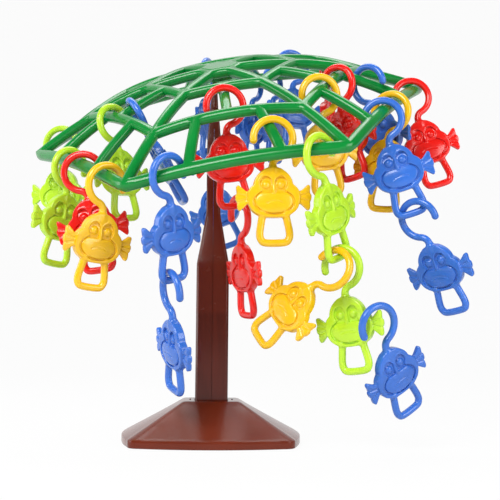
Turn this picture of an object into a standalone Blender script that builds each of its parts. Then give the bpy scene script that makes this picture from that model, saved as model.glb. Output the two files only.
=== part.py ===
"""Balancing tree game: a weighted square base, a two-part trunk, a lattice canopy that
balances on the trunk's tip, and moulded monkeys that hang by their hooked tails.

Metres, +Z up.  The origin is on the floor, under the trunk.
"""

import math

import bmesh
import bpy
import numpy as np
from mathutils import Matrix, Vector
from mathutils.bvhtree import BVHTree

# Base
BASE_HALF_WIDTH = 0.069
BASE_SIDE_BULGE = 0.0085
BASE_CORNER_RADIUS = 0.009
BASE_LIP_HEIGHT = 0.0066
BASE_HEIGHT = 0.0351
BASE_WALL = 0.0024
BASE_TURN = math.radians(0.8)
PLATEAU_HALF_WIDTH = 0.0241
PLATEAU_CORNER_RADIUS = 0.003
SOCKET_WALL = 0.0024
SOCKET_FLOOR = 0.0024
LATCH_SLOT_LENGTH = 0.016
LATCH_SLOT_WIDTH = 0.0012
LATCH_SLOT_OFFSET = 0.0036

# Trunk
TRUNK_HALF_WIDTH = 0.0142
TRUNK_CHAMFER = 0.002
TRUNK_WALL = 0.002
TRUNK_SHOULDER_HEIGHT = 0.154
TRUNK_NECK_HEIGHT = 0.200
TRUNK_NECK_END_HEIGHT = 0.265
TRUNK_POINT_LENGTH = 0.029
TRUNK_TOP_HEIGHT = TRUNK_NECK_END_HEIGHT + TRUNK_POINT_LENGTH
NECK_HALF_WIDTH = 0.0062
NECK_CHAMFER = 0.0014
NECK_WALL = 0.0016
TOP_HALF_WIDTH = 0.0036
TOP_CHAMFER = 0.001
TOP_WALL = 0.0013

# Pivot
PIVOT_ABOVE_TRUNK = 0.0288
PIVOT_HEIGHT = TRUNK_TOP_HEIGHT + PIVOT_ABOVE_TRUNK
PIVOT_BALL_RADIUS = 0.0036
PIVOT_NECK_RADIUS = 0.0020
PIVOT_SHOULDER_RADIUS = 0.0034
PIVOT_SHANK_RADIUS = 0.0018
PIVOT_SHANK_LENGTH = 0.018
SOCKET_CUP_WALL = 0.0016

# Canopy
OUTER_RING_REACH = 0.1772
MIDDLE_RING_REACH = 0.1225
INNER_RING_REACH = 0.0670
OUTER_RING_DROP = 0.0480
MIDDLE_RING_DROP = 0.0228
INNER_RING_DROP = 0.0060
BAR_WIDTH = 0.0088
BAR_CHAMFER = 0.0024
LATTICE_STEP = 0.045
HUB_REACH = 0.017
HUB_BELOW_BARS = 0.0034
HUB_DISH_RADIUS = 0.012
HUB_DISH_DEPTH = 0.0025
LATTICE_ABOVE_PIVOT = 0.0063
HUB_OFF_CENTRE = 0.006
NEAR_RAY_SHARE = 0.29
FAR_RAY_SHARE = 0.71
OUTER_FLATNESS_SHARE = 0.57
CORNER_EASE_POWER = 48
CANOPY_DIP = math.radians(24.9)
CANOPY_HEEL = math.radians(-10.8)
CANOPY_TURN = math.radians(1.5)

# Monkey
ROD_RADIUS = 0.003
HOOK_RADIUS = 0.0156
HOOK_TIP_ANGLE = math.radians(185)
HOOK_END_ANGLE = math.radians(-75)
NECK_BEND_RADIUS = 0.007
STEM_END_DEPTH = 0.028
HEAD_CENTRE_OFFSET = -0.0013
HEAD_TOP_DEPTH = 0.0235
HEAD_HEIGHT = 0.0395
HEAD_HALF_WIDTH = 0.0204
HEAD_THICKNESS = 0.0075
EAR_REACH = 0.0298
EAR_TOP_DEPTH = 0.038
EAR_BOTTOM_DEPTH = 0.058
EAR_THICKNESS = 0.004
MUZZLE_DEPTH = 0.0495
MUZZLE_HALF_WIDTH = 0.0155
MUZZLE_HALF_HEIGHT = 0.0092
MUZZLE_THICKNESS = 0.0125
EYE_SPREAD = 0.0064
EYE_DEPTH = 0.0363
EYE_RADIUS = 0.0032
EYE_THICKNESS = 0.0104
LOOP_ROOT_DEPTH = 0.0605
LOOP_ROOT_SPREAD = 0.0088
LOOP_SHOULDER_DEPTH = 0.0753
LOOP_SHOULDER_SPREAD = 0.0117
LOOP_BOTTOM_DEPTH = 0.0824
LOOP_BOTTOM_SPREAD = 0.0072

GAP = 0.0003
HOOK_GAP = 0.0007
OVERRUN = 0.002
MERGE = 0.00001

ROUND_SIDES = 12
HOOK_STEPS = 9
BEND_STEPS = 2
CORNER_STEPS = 3
SIDE_STEPS = 4
SETTLE_STEPS = 9

# The head's right half, from the stem down to the legs: across and down as shares of
# the head's half width and height.
HEAD_OUTLINE_SHARES = (
    (0.30, 0.02), (0.64, 0.16), (0.77, 0.36), (0.99, 0.50), (0.98, 0.72), (0.72, 0.92), (0.28, 1.0),
)

# An ear: out and down as shares of the ear's reach past the head and of its height.
EAR_OUTLINE_SHARES = (
    (-0.15, 0.30), (0.80, 0.0), (1.0, 0.47), (0.75, 1.0), (-0.15, 0.80),
)

GREEN = (0.46, 0.80, 0.04)
YELLOW = (1.0, 0.56, 0.03)
RED = (0.80, 0.02, 0.01)
BLUE = (0.06, 0.18, 0.70)
LEAF = (0.01, 0.26, 0.05)
BARK = (0.17, 0.03, 0.015)

MONKEY_COLOURS = {"green": GREEN, "yellow": YELLOW, "red": RED, "blue": BLUE}

TIP_LEFT = 0.0
TIP_RIGHT = math.pi

# Each monkey: name, which way its tail's tip points, what carries it (a bar, or the leg
# loop or an ear of another monkey), the share along that, how far the hook has slid
# towards its tip as a share of its radius, then its turn about the vertical, its nod and
# its tilt in degrees.
MONKEY_PLACE_SHARES = (
    ("green_1", TIP_RIGHT, ("outer", 5), 0.80, 0, -15, 0, 0),
    ("green_2", TIP_RIGHT, ("outer", 0), 0.42, 0, 44, 5, 7),
    ("yellow_1", TIP_RIGHT, ("outer", 0), 0.83, 0, 34, 8, 6),
    ("red_1", TIP_RIGHT, ("outer", 0), 0.575, 0, 0, 0, -10),
    ("green_3", TIP_RIGHT, ("middle", 0), 0.417, 0, 43, -8, -3),
    ("blue_1", TIP_LEFT, ("centre_ray", 0), 0.60, 0, -80, 30, 0),
    ("blue_2", TIP_RIGHT, ("outer", 1), 0.20, 0, 44, 10, -13),
    ("blue_3", TIP_RIGHT, ("blue_2", "loop"), 0.34, 0, -64, 10, 16),
    ("blue_4", TIP_LEFT, ("middle", 4), 0.60, 0, 70, 0, 0),
    ("blue_5", TIP_LEFT, ("blue_4", "loop"), 0.0, 0, -15, 0, -18),
    ("red_2", TIP_LEFT, ("centre_ray", 1), 0.49, 0, 11, 4, -8),
    ("red_3", TIP_LEFT, ("red_2", "loop"), 0.6, 0, -66, 8, 3),
    ("yellow_2", TIP_LEFT, ("far_ray", 1), 0.61, 0, 5, -2, -2),
    ("green_4", TIP_RIGHT, ("outer", 1), 0.87, 0, 45, 3, -20),
    ("green_5", TIP_LEFT, ("green_4", "loop"), -0.615, 0, -36, 6, -7),
    ("yellow_3", TIP_LEFT, ("green_4", "loop"), 1.15, 0, -39, -15, 46),
    ("blue_12", TIP_LEFT, ("green_5", "ear"), 0.38, 0.3, 29, 12, -33),
    ("blue_6", TIP_LEFT, ("outer", 2), 0.44, 0, -8, 2, -18),
    ("blue_7", TIP_RIGHT, ("blue_6", "loop"), 0.78, 0, -40, 21, -12),
    ("yellow_4", TIP_LEFT, ("outer", 2), 0.56, 0, -33, 4, 6),
    ("red_5", TIP_LEFT, ("outer", 2), 0.87, 0, 3, -6, -17),
    ("yellow_5", TIP_LEFT, ("middle", 2), 0.291, 0, 14, 6, -9),
    ("red_4", TIP_LEFT, ("middle", 2), 0.612, 0, -41, 4, -11),
    ("blue_8", TIP_RIGHT, ("far_ray", 2), 0.445, 0, -45, 11, -8),
    ("red_6", TIP_LEFT, ("outer", 3), 0.78, 0, 60, 0, 0),
    ("blue_9", TIP_LEFT, ("middle", 3), 0.83, 0, 25, -8, 0),
    ("blue_10", TIP_LEFT, ("outer", 4), 0.32, 0, 54, 0, 0),
    ("blue_11", TIP_LEFT, ("outer", 4), 0.20, 0, 55, 0, -4),
)


def clear_scene():
    for thing in list(bpy.data.objects):
        bpy.data.objects.remove(thing)


def new_collection(name):
    group = bpy.data.collections.new(name)
    bpy.context.scene.collection.children.link(group)
    return group


def plastic(name, colour, roughness=0.25):
    """A glossy moulded plastic of one colour."""
    made = bpy.data.materials.new(name)
    made.use_nodes = True
    shader = made.node_tree.nodes["Principled BSDF"]
    shader.inputs["Base Color"].default_value = (*colour, 1.0)
    shader.inputs["Roughness"].default_value = roughness
    shader.inputs["Metallic"].default_value = 0.0
    made.diffuse_color = (*colour, 1.0)
    return made


def add_object(name, mesh, group, material=None):
    made = bpy.data.objects.new(name, mesh)
    group.objects.link(made)
    if material is not None:
        made.data.materials.clear()
        made.data.materials.append(material)
    return made


def mesh_from_bmesh(name, shape):
    bmesh.ops.recalc_face_normals(shape, faces=shape.faces)
    mesh = bpy.data.meshes.new(name)
    shape.to_mesh(mesh)
    shape.free()
    return mesh


def baked_mesh(thing):
    """The object's mesh with its modifiers applied, in world space, and the object removed."""
    bpy.context.view_layer.update()
    seen = thing.evaluated_get(bpy.context.evaluated_depsgraph_get())
    mesh = bpy.data.meshes.new_from_object(seen)
    mesh.transform(thing.matrix_world)
    shape = bmesh.new()
    shape.from_mesh(mesh)
    bmesh.ops.remove_doubles(shape, verts=shape.verts, dist=MERGE)
    shape.to_mesh(mesh)
    shape.free()
    bpy.data.objects.remove(thing)
    return mesh


def add_boolean(thing, other, operation):
    cut = thing.modifiers.new(operation.lower(), "BOOLEAN")
    cut.operation = operation
    cut.object = other
    cut.solver = "EXACT"
    return cut


def as_cutter(thing):
    thing.hide_render = True
    thing.display_type = "WIRE"
    return thing


def add_turned(name, profile, group, material=None):
    """A turned piece: a profile of (radius, height) pairs, top to bottom, spun about Z."""
    shape = bmesh.new()
    points = [shape.verts.new((radius, 0.0, height)) for radius, height in profile]
    for above, below in zip(points, points[1:]):
        shape.edges.new((above, below))
    mesh = bpy.data.meshes.new(name)
    shape.to_mesh(mesh)
    shape.free()
    made = add_object(name, mesh, group, material)
    spin = made.modifiers.new("spin", "SCREW")
    spin.steps = ROUND_SIDES
    spin.render_steps = ROUND_SIDES
    spin.use_merge_vertices = True
    spin.merge_threshold = MERGE
    return made


def arc(centre, radius, start, end, steps):
    """Points along an arc in the plane, from one angle to the other, both ends included."""
    turns = [start + (end - start) * step / steps for step in range(steps + 1)]
    return [(centre[0] + radius * math.cos(turn), centre[1] + radius * math.sin(turn)) for turn in turns]


def square_outline(half, bulge, corner):
    """A square with rounded corners and sides that swell outwards in the middle."""
    points = []
    reach = half - corner
    for side in range(4):
        turn = side * math.pi / 2
        ring = []
        for step in range(1, SIDE_STEPS):
            along = -reach + 2 * reach * step / SIDE_STEPS
            swell = bulge * (1 - (along / reach) ** 2)
            ring.append((half + swell, along))
        ring += arc((reach, reach), corner, 0.0, math.pi / 2, CORNER_STEPS)
        cosine, sine = math.cos(turn), math.sin(turn)
        points += [(x * cosine - y * sine, x * sine + y * cosine) for x, y in ring]
    return points


def loft(sections):
    """A closed skin through sections of equal point counts, capped at both ends."""
    shape = bmesh.new()
    rings = [[shape.verts.new(point) for point in section] for section in sections]
    count = len(rings[0])
    for lower, upper in zip(rings, rings[1:]):
        for start in range(count):
            end = (start + 1) % count
            shape.faces.new((lower[start], lower[end], upper[end], upper[start]))
    shape.faces.new(rings[0])
    shape.faces.new(rings[-1])
    return shape


def at_height(outline, height):
    return [(x, y, height) for x, y in outline]


def make_base(group, cutters):
    """The hollow base: rim, sloping sides and plateau, and the socket that holds the trunk."""
    socket = TRUNK_HALF_WIDTH + GAP
    socket_outside = socket + SOCKET_WALL
    slope = (BASE_HALF_WIDTH - PLATEAU_HALF_WIDTH) / (BASE_HEIGHT - BASE_LIP_HEIGHT)
    wall_across = BASE_WALL * math.sqrt(1 + slope * slope) / slope
    inside_height = BASE_HEIGHT - BASE_WALL
    inside_lip = BASE_LIP_HEIGHT - wall_across + BASE_WALL / slope
    inside_rim = square_outline(BASE_HALF_WIDTH - BASE_WALL, BASE_SIDE_BULGE, BASE_CORNER_RADIUS - BASE_WALL)
    inside_top = PLATEAU_HALF_WIDTH - (wall_across - BASE_WALL) * slope
    sections = [
        at_height(square_outline(socket, 0.0, TRUNK_CHAMFER), SOCKET_FLOOR),
        at_height(square_outline(socket, 0.0, TRUNK_CHAMFER), BASE_HEIGHT),
        at_height(square_outline(PLATEAU_HALF_WIDTH, 0.0, PLATEAU_CORNER_RADIUS), BASE_HEIGHT),
        at_height(square_outline(BASE_HALF_WIDTH, BASE_SIDE_BULGE, BASE_CORNER_RADIUS), BASE_LIP_HEIGHT),
        at_height(square_outline(BASE_HALF_WIDTH, BASE_SIDE_BULGE, BASE_CORNER_RADIUS), 0.0),
        at_height(inside_rim, 0.0),
        at_height(inside_rim, inside_lip),
        at_height(square_outline(inside_top, 0.0, PLATEAU_CORNER_RADIUS), inside_height),
        at_height(square_outline(socket_outside, 0.0, TRUNK_CHAMFER), inside_height),
        at_height(square_outline(socket_outside, 0.0, TRUNK_CHAMFER), 0.0),
    ]
    base = add_object("base", mesh_from_bmesh("base", loft(sections)), group, plastic("brown_base", BARK))
    base.rotation_euler.z = BASE_TURN
    for side in (-1, 1):
        bpy.ops.mesh.primitive_cube_add(size=1.0)
        slot = bpy.context.object
        slot.name = "latch_slot"
        for owner in list(slot.users_collection):
            owner.objects.unlink(slot)
        cutters.objects.link(slot)
        slot.dimensions = (LATCH_SLOT_WIDTH, LATCH_SLOT_LENGTH, BASE_WALL + 2 * OVERRUN)
        across = TRUNK_HALF_WIDTH + LATCH_SLOT_OFFSET + LATCH_SLOT_WIDTH / 2
        slot.location = (side * across, 0.0, BASE_HEIGHT - BASE_WALL / 2)
        slot.rotation_euler.z = 0.0
        slot.data.transform(Matrix.Diagonal((*slot.scale, 1.0)))
        slot.scale = (1.0, 1.0, 1.0)
        add_boolean(base, as_cutter(slot), "DIFFERENCE")
    return base


def trunk_section(side, half, chamfer, wall, height):
    """One half of the trunk's hollow eight-sided section, open at the seam."""
    seam = GAP / 2
    flat = half - chamfer
    inner = half - wall
    inner_flat = inner - chamfer * inner / half
    outline = [
        (seam, -half), (flat, -half), (half, -flat), (half, flat), (flat, half), (seam, half),
        (seam, inner), (inner_flat, inner), (inner, inner_flat), (inner, -inner_flat),
        (inner_flat, -inner), (seam, -inner),
    ]
    return [(side * x, y, height) for x, y in outline]


def make_trunk_half(name, side, group, material):
    stations = (
        (TRUNK_HALF_WIDTH, TRUNK_CHAMFER, TRUNK_WALL, SOCKET_FLOOR + GAP),
        (TRUNK_HALF_WIDTH, TRUNK_CHAMFER, TRUNK_WALL, TRUNK_SHOULDER_HEIGHT),
        (NECK_HALF_WIDTH, NECK_CHAMFER, NECK_WALL, TRUNK_NECK_HEIGHT),
        (NECK_HALF_WIDTH, NECK_CHAMFER, NECK_WALL, TRUNK_NECK_END_HEIGHT),
        (TOP_HALF_WIDTH, TOP_CHAMFER, TOP_WALL, TRUNK_TOP_HEIGHT),
    )
    shape = loft([trunk_section(side, *station) for station in stations])
    half = add_object(name, mesh_from_bmesh(name, shape), group, material)
    half.rotation_euler.z = BASE_TURN
    return half


def make_pivot_tip(group, material):
    """The ball-ended pin in the trunk's top, with its origin at the ball's centre."""
    ball = arc((0.0, 0.0), PIVOT_BALL_RADIUS, math.pi / 2, -math.acos(PIVOT_NECK_RADIUS / PIVOT_BALL_RADIUS), 5)
    shoulder = TRUNK_TOP_HEIGHT + GAP - PIVOT_HEIGHT
    ball[0] = (0.0, PIVOT_BALL_RADIUS)
    profile = ball + [
        (PIVOT_SHOULDER_RADIUS, shoulder + PIVOT_SHOULDER_RADIUS),
        (PIVOT_SHOULDER_RADIUS, shoulder),
        (PIVOT_SHANK_RADIUS, shoulder),
        (PIVOT_SHANK_RADIUS, shoulder - PIVOT_SHANK_LENGTH),
        (0.0, shoulder - PIVOT_SHANK_LENGTH),
    ]
    tip = add_turned("pivot_tip", profile, group, material)
    tip.location.z = PIVOT_HEIGHT
    return tip


def canopy_turn():
    """The canopy's attitude as photographed: dipped to the front and heeled to the left."""
    dip = Matrix.Rotation(CANOPY_DIP, 3, "X")
    heel = Matrix.Rotation(CANOPY_HEEL, 3, "Y")
    return dip @ heel @ Matrix.Rotation(CANOPY_TURN, 3, "Z")


def canopy_place():
    return Matrix.Translation((0.0, 0.0, PIVOT_HEIGHT)) @ canopy_turn().to_4x4()


def make_hub_socket(group, material):
    """The half-round cup between the ball and the hub."""
    inner = PIVOT_BALL_RADIUS + GAP
    outer = inner + SOCKET_CUP_WALL
    outside = arc((0.0, 0.0), outer, math.pi / 2, 0.0, 4)
    inside = arc((0.0, 0.0), inner, 0.0, math.pi / 2, 4)
    outside[0] = (0.0, outer)
    inside[-1] = (0.0, inner)
    cup = add_turned("hub_socket", outside + inside, group, material)
    cup.matrix_world = canopy_place()
    return cup


def ring_corner(reach, corner):
    turn = math.radians(60 * corner - 180)
    return Vector((reach * math.cos(turn), reach * math.sin(turn)))


def on_side(reach, side, share):
    return ring_corner(reach, side).lerp(ring_corner(reach, side + 1), share)


def bar_ends(kind, side):
    """The two ends of a bar in plan, seen from above with the hub at the centre."""
    rays = {"near_ray": NEAR_RAY_SHARE, "far_ray": FAR_RAY_SHARE}
    if kind in rays:
        share = rays[kind]
        return on_side(MIDDLE_RING_REACH, side, share), on_side(OUTER_RING_REACH, side, share)
    if kind == "centre_ray":
        return on_side(INNER_RING_REACH, side, 0.5), on_side(MIDDLE_RING_REACH, side, 0.5)
    reach = {"inner": INNER_RING_REACH, "middle": MIDDLE_RING_REACH, "outer": OUTER_RING_REACH}[kind]
    return ring_corner(reach, side), ring_corner(reach, side + 1)


def dome_drop(reach):
    """How far the lattice has dropped at a distance from the hub: a parabola whose
    steepness is blended between the three rings."""
    rings = (INNER_RING_REACH, MIDDLE_RING_REACH, OUTER_RING_REACH)
    drops = (INNER_RING_DROP, MIDDLE_RING_DROP, OUTER_RING_DROP)
    steepness = [drop / ring ** 2 for ring, drop in zip(rings, drops)]
    return float(np.interp(reach, rings, steepness)) * reach ** 2


def on_dome(x, y):
    """A plan point lifted on to the dome, in the canopy's own frame.  Outside the middle
    ring the bars run flatter than the dome, and the outer ring's outer corners are rounded."""
    turns = [math.radians(angle) for angle in (30, 90, 150)]
    spans = [abs(x * math.cos(turn) + y * math.sin(turn)) for turn in turns]
    side_reach = max(spans) / math.cos(math.pi / 6)
    outward = (side_reach - MIDDLE_RING_REACH) / (OUTER_RING_REACH - MIDDLE_RING_REACH)
    flat = OUTER_FLATNESS_SHARE * min(max(outward, 0.0), 1.0)
    drop = dome_drop(math.hypot(x, y) * (1 - flat) + side_reach * flat)
    beyond = (side_reach - OUTER_RING_REACH) * math.cos(math.pi / 6) / (BAR_WIDTH / 2)
    if beyond > 0:
        spread = sum((span / max(spans)) ** CORNER_EASE_POWER for span in spans) ** (1 / CORNER_EASE_POWER)
        ease = 1 / (1 + (spread - 1) * min(beyond, 1.0))
        x, y = x * ease, y * ease
    return Vector((x + HUB_OFF_CENTRE, y, LATTICE_ABOVE_PIVOT - drop))


class Lattice:
    """The lattice in plan: one flat face for each opening, with shared corner points."""

    def __init__(self):
        self.shape = bmesh.new()
        self.known = {}

    def vertex(self, point):
        key = (round(point[0] / MERGE), round(point[1] / MERGE))
        if key not in self.known:
            self.known[key] = self.shape.verts.new((point[0], point[1], 0.0))
        return self.known[key]

    def between(self, start, end):
        """Points from one place to the next, the end left out, at about the same step."""
        steps = max(1, round((end - start).length / LATTICE_STEP))
        return [self.vertex(start.lerp(end, step / steps)) for step in range(steps)]

    def opening(self, corners):
        loop = []
        for start, end in zip(corners, corners[1:] + corners[:1]):
            loop += self.between(start, end)
        return self.shape.faces.new(loop)

    def rim(self, corner):
        """The outer half of one side of the outer ring, a strip of quads."""
        grow = 1 + BAR_WIDTH / 2 / (OUTER_RING_REACH * math.cos(math.pi / 6))
        side = []
        corners = [on_side(OUTER_RING_REACH, corner, share) for share in (0, NEAR_RAY_SHARE, FAR_RAY_SHARE, 1)]
        for start, end in zip(corners, corners[1:]):
            side += self.between(start, end)
        side.append(self.vertex(corners[-1]))
        outside = [self.vertex(vertex.co.xy * grow) for vertex in side]
        for place in range(len(side) - 1):
            self.shape.faces.new((side[place], outside[place], outside[place + 1], side[place + 1]))


def lattice_openings(lattice, side):
    """The six openings of one sixth of the canopy."""
    hub, next_hub = ring_corner(HUB_REACH, side), ring_corner(HUB_REACH, side + 1)
    inner, inner_mid, next_inner = (on_side(INNER_RING_REACH, side, share) for share in (0, 0.5, 1))
    shares = (0, NEAR_RAY_SHARE, 0.5, FAR_RAY_SHARE, 1)
    middle, near, middle_mid, far, next_middle = (on_side(MIDDLE_RING_REACH, side, share) for share in shares)
    outer, outer_near, _, outer_far, next_outer = (on_side(OUTER_RING_REACH, side, share) for share in shares)
    corners = (
        [hub, inner, inner_mid, next_inner, next_hub],
        [inner, middle, near, middle_mid, inner_mid],
        [inner_mid, middle_mid, far, next_middle, next_inner],
        [middle, outer, outer_near, near],
        [near, outer_near, outer_far, far, middle_mid],
        [far, outer_far, next_outer, next_middle],
    )
    return [lattice.opening(list(loop)) for loop in corners]


def lattice_mesh():
    """The bars as one open surface on the dome: each opening is inset by half a bar."""
    lattice = Lattice()
    openings = []
    for side in range(6):
        openings += lattice_openings(lattice, side)
    hub = lattice.shape.faces.new([lattice.vertex(ring_corner(HUB_REACH, corner)) for corner in range(6)])
    for corner in range(6):
        lattice.rim(corner)
    shape = lattice.shape
    bmesh.ops.recalc_face_normals(shape, faces=shape.faces)
    bmesh.ops.inset_individual(shape, faces=openings, thickness=BAR_WIDTH / 2, use_even_offset=True)
    bmesh.ops.delete(shape, geom=openings, context="FACES_ONLY")
    if hub.normal.z < 0:
        bmesh.ops.reverse_faces(shape, faces=shape.faces)
    for vertex in shape.verts:
        vertex.co = on_dome(vertex.co.x, vertex.co.y)
    mesh = bpy.data.meshes.new("canopy")
    shape.to_mesh(mesh)
    shape.free()
    return mesh


def add_prism(name, radius, sides, low, high, turn, group):
    """A straight prism or cylinder between two heights, centred on the hub."""
    shape = bmesh.new()
    bmesh.ops.create_cone(
        shape, cap_ends=True, segments=sides, radius1=radius, radius2=radius, depth=high - low,
        matrix=Matrix.Translation((HUB_OFF_CENTRE, 0.0, (low + high) / 2)) @ Matrix.Rotation(turn, 4, "Z"))
    return add_object(name, mesh_from_bmesh(name, shape), group)


def make_canopy(group, cutters, material):
    canopy = add_object("canopy", lattice_mesh(), group, material)
    skin = canopy.modifiers.new("bar_height", "SOLIDIFY")
    skin.thickness = BAR_WIDTH
    skin.offset = 0.0
    skin.use_even_offset = False
    edge = canopy.modifiers.new("bar_chamfer", "BEVEL")
    edge.width = BAR_CHAMFER
    edge.segments = 1
    edge.limit_method = "ANGLE"
    edge.angle_limit = math.radians(50)
    top = LATTICE_ABOVE_PIVOT + BAR_WIDTH / 2
    bottom = LATTICE_ABOVE_PIVOT - BAR_WIDTH / 2 - HUB_BELOW_BARS
    hub = add_prism("hub_block", HUB_REACH, 6, bottom, top, math.radians(90), cutters)
    dish = add_prism("hub_dish", HUB_DISH_RADIUS, 2 * ROUND_SIDES, top - HUB_DISH_DEPTH, top + OVERRUN, 0.0, cutters)
    shape = bmesh.new()
    seat = PIVOT_BALL_RADIUS + 2 * GAP + SOCKET_CUP_WALL
    bmesh.ops.create_uvsphere(shape, u_segments=ROUND_SIDES, v_segments=10, radius=seat + GAP)
    socket = add_object("hub_recess", mesh_from_bmesh("hub_recess", shape), cutters)
    for other, operation in ((hub, "UNION"), (dish, "DIFFERENCE"), (socket, "DIFFERENCE")):
        as_cutter(other).matrix_world = canopy_place()
        add_boolean(canopy, other, operation)
    canopy.matrix_world = canopy_place()
    return canopy


def tube_mesh(path, closed=False):
    """A round rod along a path in the monkey's own plane."""
    curve = bpy.data.curves.new("rod", "CURVE")
    curve.dimensions = "3D"
    line = curve.splines.new("POLY")
    line.points.add(len(path) - 1)
    for point, (x, z) in zip(line.points, path):
        point.co = (x, 0.0, z, 1.0)
    line.use_cyclic_u = closed
    curve.bevel_depth = ROD_RADIUS
    curve.bevel_resolution = 1
    curve.use_fill_caps = not closed
    rod = bpy.data.objects.new("rod", curve)
    bpy.context.scene.collection.objects.link(rod)
    return baked_mesh(rod)


def plate_mesh(outline, thickness):
    """A flat plate in the monkey's own plane, from its outline."""
    curve = bpy.data.curves.new("plate", "CURVE")
    curve.dimensions = "2D"
    curve.fill_mode = "BOTH"
    curve.extrude = thickness / 2
    line = curve.splines.new("POLY")
    line.points.add(len(outline) - 1)
    for point, (x, z) in zip(line.points, outline):
        point.co = (x, z, 0.0, 1.0)
    line.use_cyclic_u = True
    plate = bpy.data.objects.new("plate", curve)
    bpy.context.scene.collection.objects.link(plate)
    plate.rotation_euler.x = math.pi / 2
    return baked_mesh(plate)


def mound_mesh(across, down, half_width, half_height, thickness, sides, rings):
    """A rounded mound that stands out of both faces of the head alike."""
    shape = bmesh.new()
    bmesh.ops.create_uvsphere(shape, u_segments=sides, v_segments=rings, radius=1.0)
    scale = Matrix.Diagonal((half_width, half_height, thickness / 2, 1.0))
    upright = Matrix.Translation((across, 0.0, -down)) @ Matrix.Rotation(math.pi / 2, 4, "X")
    shape.transform(upright @ scale)
    return mesh_from_bmesh("mound", shape)


def hook_path():
    """The tail: round the hook from its tip, a reverse bend, then straight down to the head."""
    hook = arc((0.0, 0.0), HOOK_RADIUS, HOOK_TIP_ANGLE, HOOK_END_ANGLE, HOOK_STEPS)
    across, depth = math.cos(HOOK_END_ANGLE), math.sin(HOOK_END_ANGLE)
    reach = HOOK_RADIUS + NECK_BEND_RADIUS
    bend = arc((reach * across, reach * depth), NECK_BEND_RADIUS,
               HOOK_END_ANGLE + math.pi, math.pi, BEND_STEPS)
    return hook + bend[1:] + [(bend[-1][0], -STEM_END_DEPTH)]


def loop_path():
    """The leg loop: out of the head, spreading, and round under to the other leg."""
    right = [
        (LOOP_ROOT_SPREAD, -LOOP_ROOT_DEPTH),
        (LOOP_SHOULDER_SPREAD, -LOOP_SHOULDER_DEPTH),
        ((LOOP_SHOULDER_SPREAD * 2 + LOOP_BOTTOM_SPREAD) / 3, -(LOOP_SHOULDER_DEPTH + LOOP_BOTTOM_DEPTH * 2) / 3),
        (LOOP_BOTTOM_SPREAD, -LOOP_BOTTOM_DEPTH),
    ]
    left = [(-x, z) for x, z in reversed(right)]
    return [(x + HEAD_CENTRE_OFFSET, z) for x, z in right + left]


def head_outline():
    right = [(across * HEAD_HALF_WIDTH, -HEAD_TOP_DEPTH - down * HEAD_HEIGHT)
             for across, down in HEAD_OUTLINE_SHARES]
    left = [(-x, z) for x, z in reversed(right)]
    return [(x + HEAD_CENTRE_OFFSET, z) for x, z in right + left]


def ear_outline(side):
    reach = EAR_REACH - HEAD_HALF_WIDTH
    height = EAR_BOTTOM_DEPTH - EAR_TOP_DEPTH
    points = [(side * (HEAD_HALF_WIDTH + out * reach), -EAR_TOP_DEPTH - down * height)
              for out, down in EAR_OUTLINE_SHARES]
    return [(x + HEAD_CENTRE_OFFSET, z) for x, z in points[::side]]


def monkey_mesh(group):
    """One monkey, moulded in one piece.  Its hook's centre is at the origin, it hangs down
    in the XZ plane with the tail's tip on the left, and both faces are alike."""
    eyes = [mound_mesh(HEAD_CENTRE_OFFSET + side * EYE_SPREAD, EYE_DEPTH, EYE_RADIUS, EYE_RADIUS,
                       EYE_THICKNESS, 6, 4) for side in (-1, 1)]
    muzzle = mound_mesh(HEAD_CENTRE_OFFSET, MUZZLE_DEPTH, MUZZLE_HALF_WIDTH, MUZZLE_HALF_HEIGHT,
                        MUZZLE_THICKNESS, 8, 4)
    ears = [plate_mesh(ear_outline(side), EAR_THICKNESS) for side in (-1, 1)]
    pieces = [tube_mesh(hook_path()), tube_mesh(loop_path()), *ears, muzzle, *eyes]
    body = add_object("monkey_body", plate_mesh(head_outline(), HEAD_THICKNESS), group)
    others = [add_object("monkey_piece", mesh, group) for mesh in pieces]
    for other in others:
        add_boolean(body, other, "UNION")
    mesh = baked_mesh(body)
    for other in others:
        bpy.data.objects.remove(other)
    return mesh


def bar_frame(kind, side, share):
    """Where a bar is at a share of its length, in the world: its centre, its direction and
    the offsets of its section's upper corners."""
    start, end = bar_ends(kind, side)
    here = start.lerp(end, share)
    step = (end - start).normalized() * BAR_WIDTH
    ahead, behind = here + step, here - step
    turn = canopy_turn()
    place = canopy_place() @ on_dome(*here)
    along = (turn @ (on_dome(*ahead) - on_dome(*behind))).normalized()
    across = (turn @ Vector((0.0, 0.0, 1.0))).cross(along).normalized()
    up = along.cross(across)
    half = BAR_WIDTH / 2
    flat = half - BAR_CHAMFER
    corners = [across * x + up * y for x, y in ((-half, flat), (-flat, half), (flat, half), (half, flat))]
    return place, along, corners


def loop_frame(carrier, share):
    """The same for the bottom of a hanging monkey's leg loop."""
    place = carrier @ Vector((HEAD_CENTRE_OFFSET + share * LOOP_BOTTOM_SPREAD, 0.0, -LOOP_BOTTOM_DEPTH))
    along = (carrier.to_3x3() @ Vector((1.0, 0.0, 0.0))).normalized()
    return place, along, None


def ear_frame(carrier, share):
    """The same for the upper edge of a hanging monkey's right ear, from its root outwards."""
    outline = [Vector((x, 0.0, z)) for x, z in ear_outline(1)]
    root, tip = outline[0], outline[1]
    turn = carrier.to_3x3()
    place = carrier @ root.lerp(tip, share)
    along = (turn @ (tip - root)).normalized()
    half = turn @ Vector((0.0, EAR_THICKNESS / 2, 0.0))
    return place, along, [half, -half]


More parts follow.
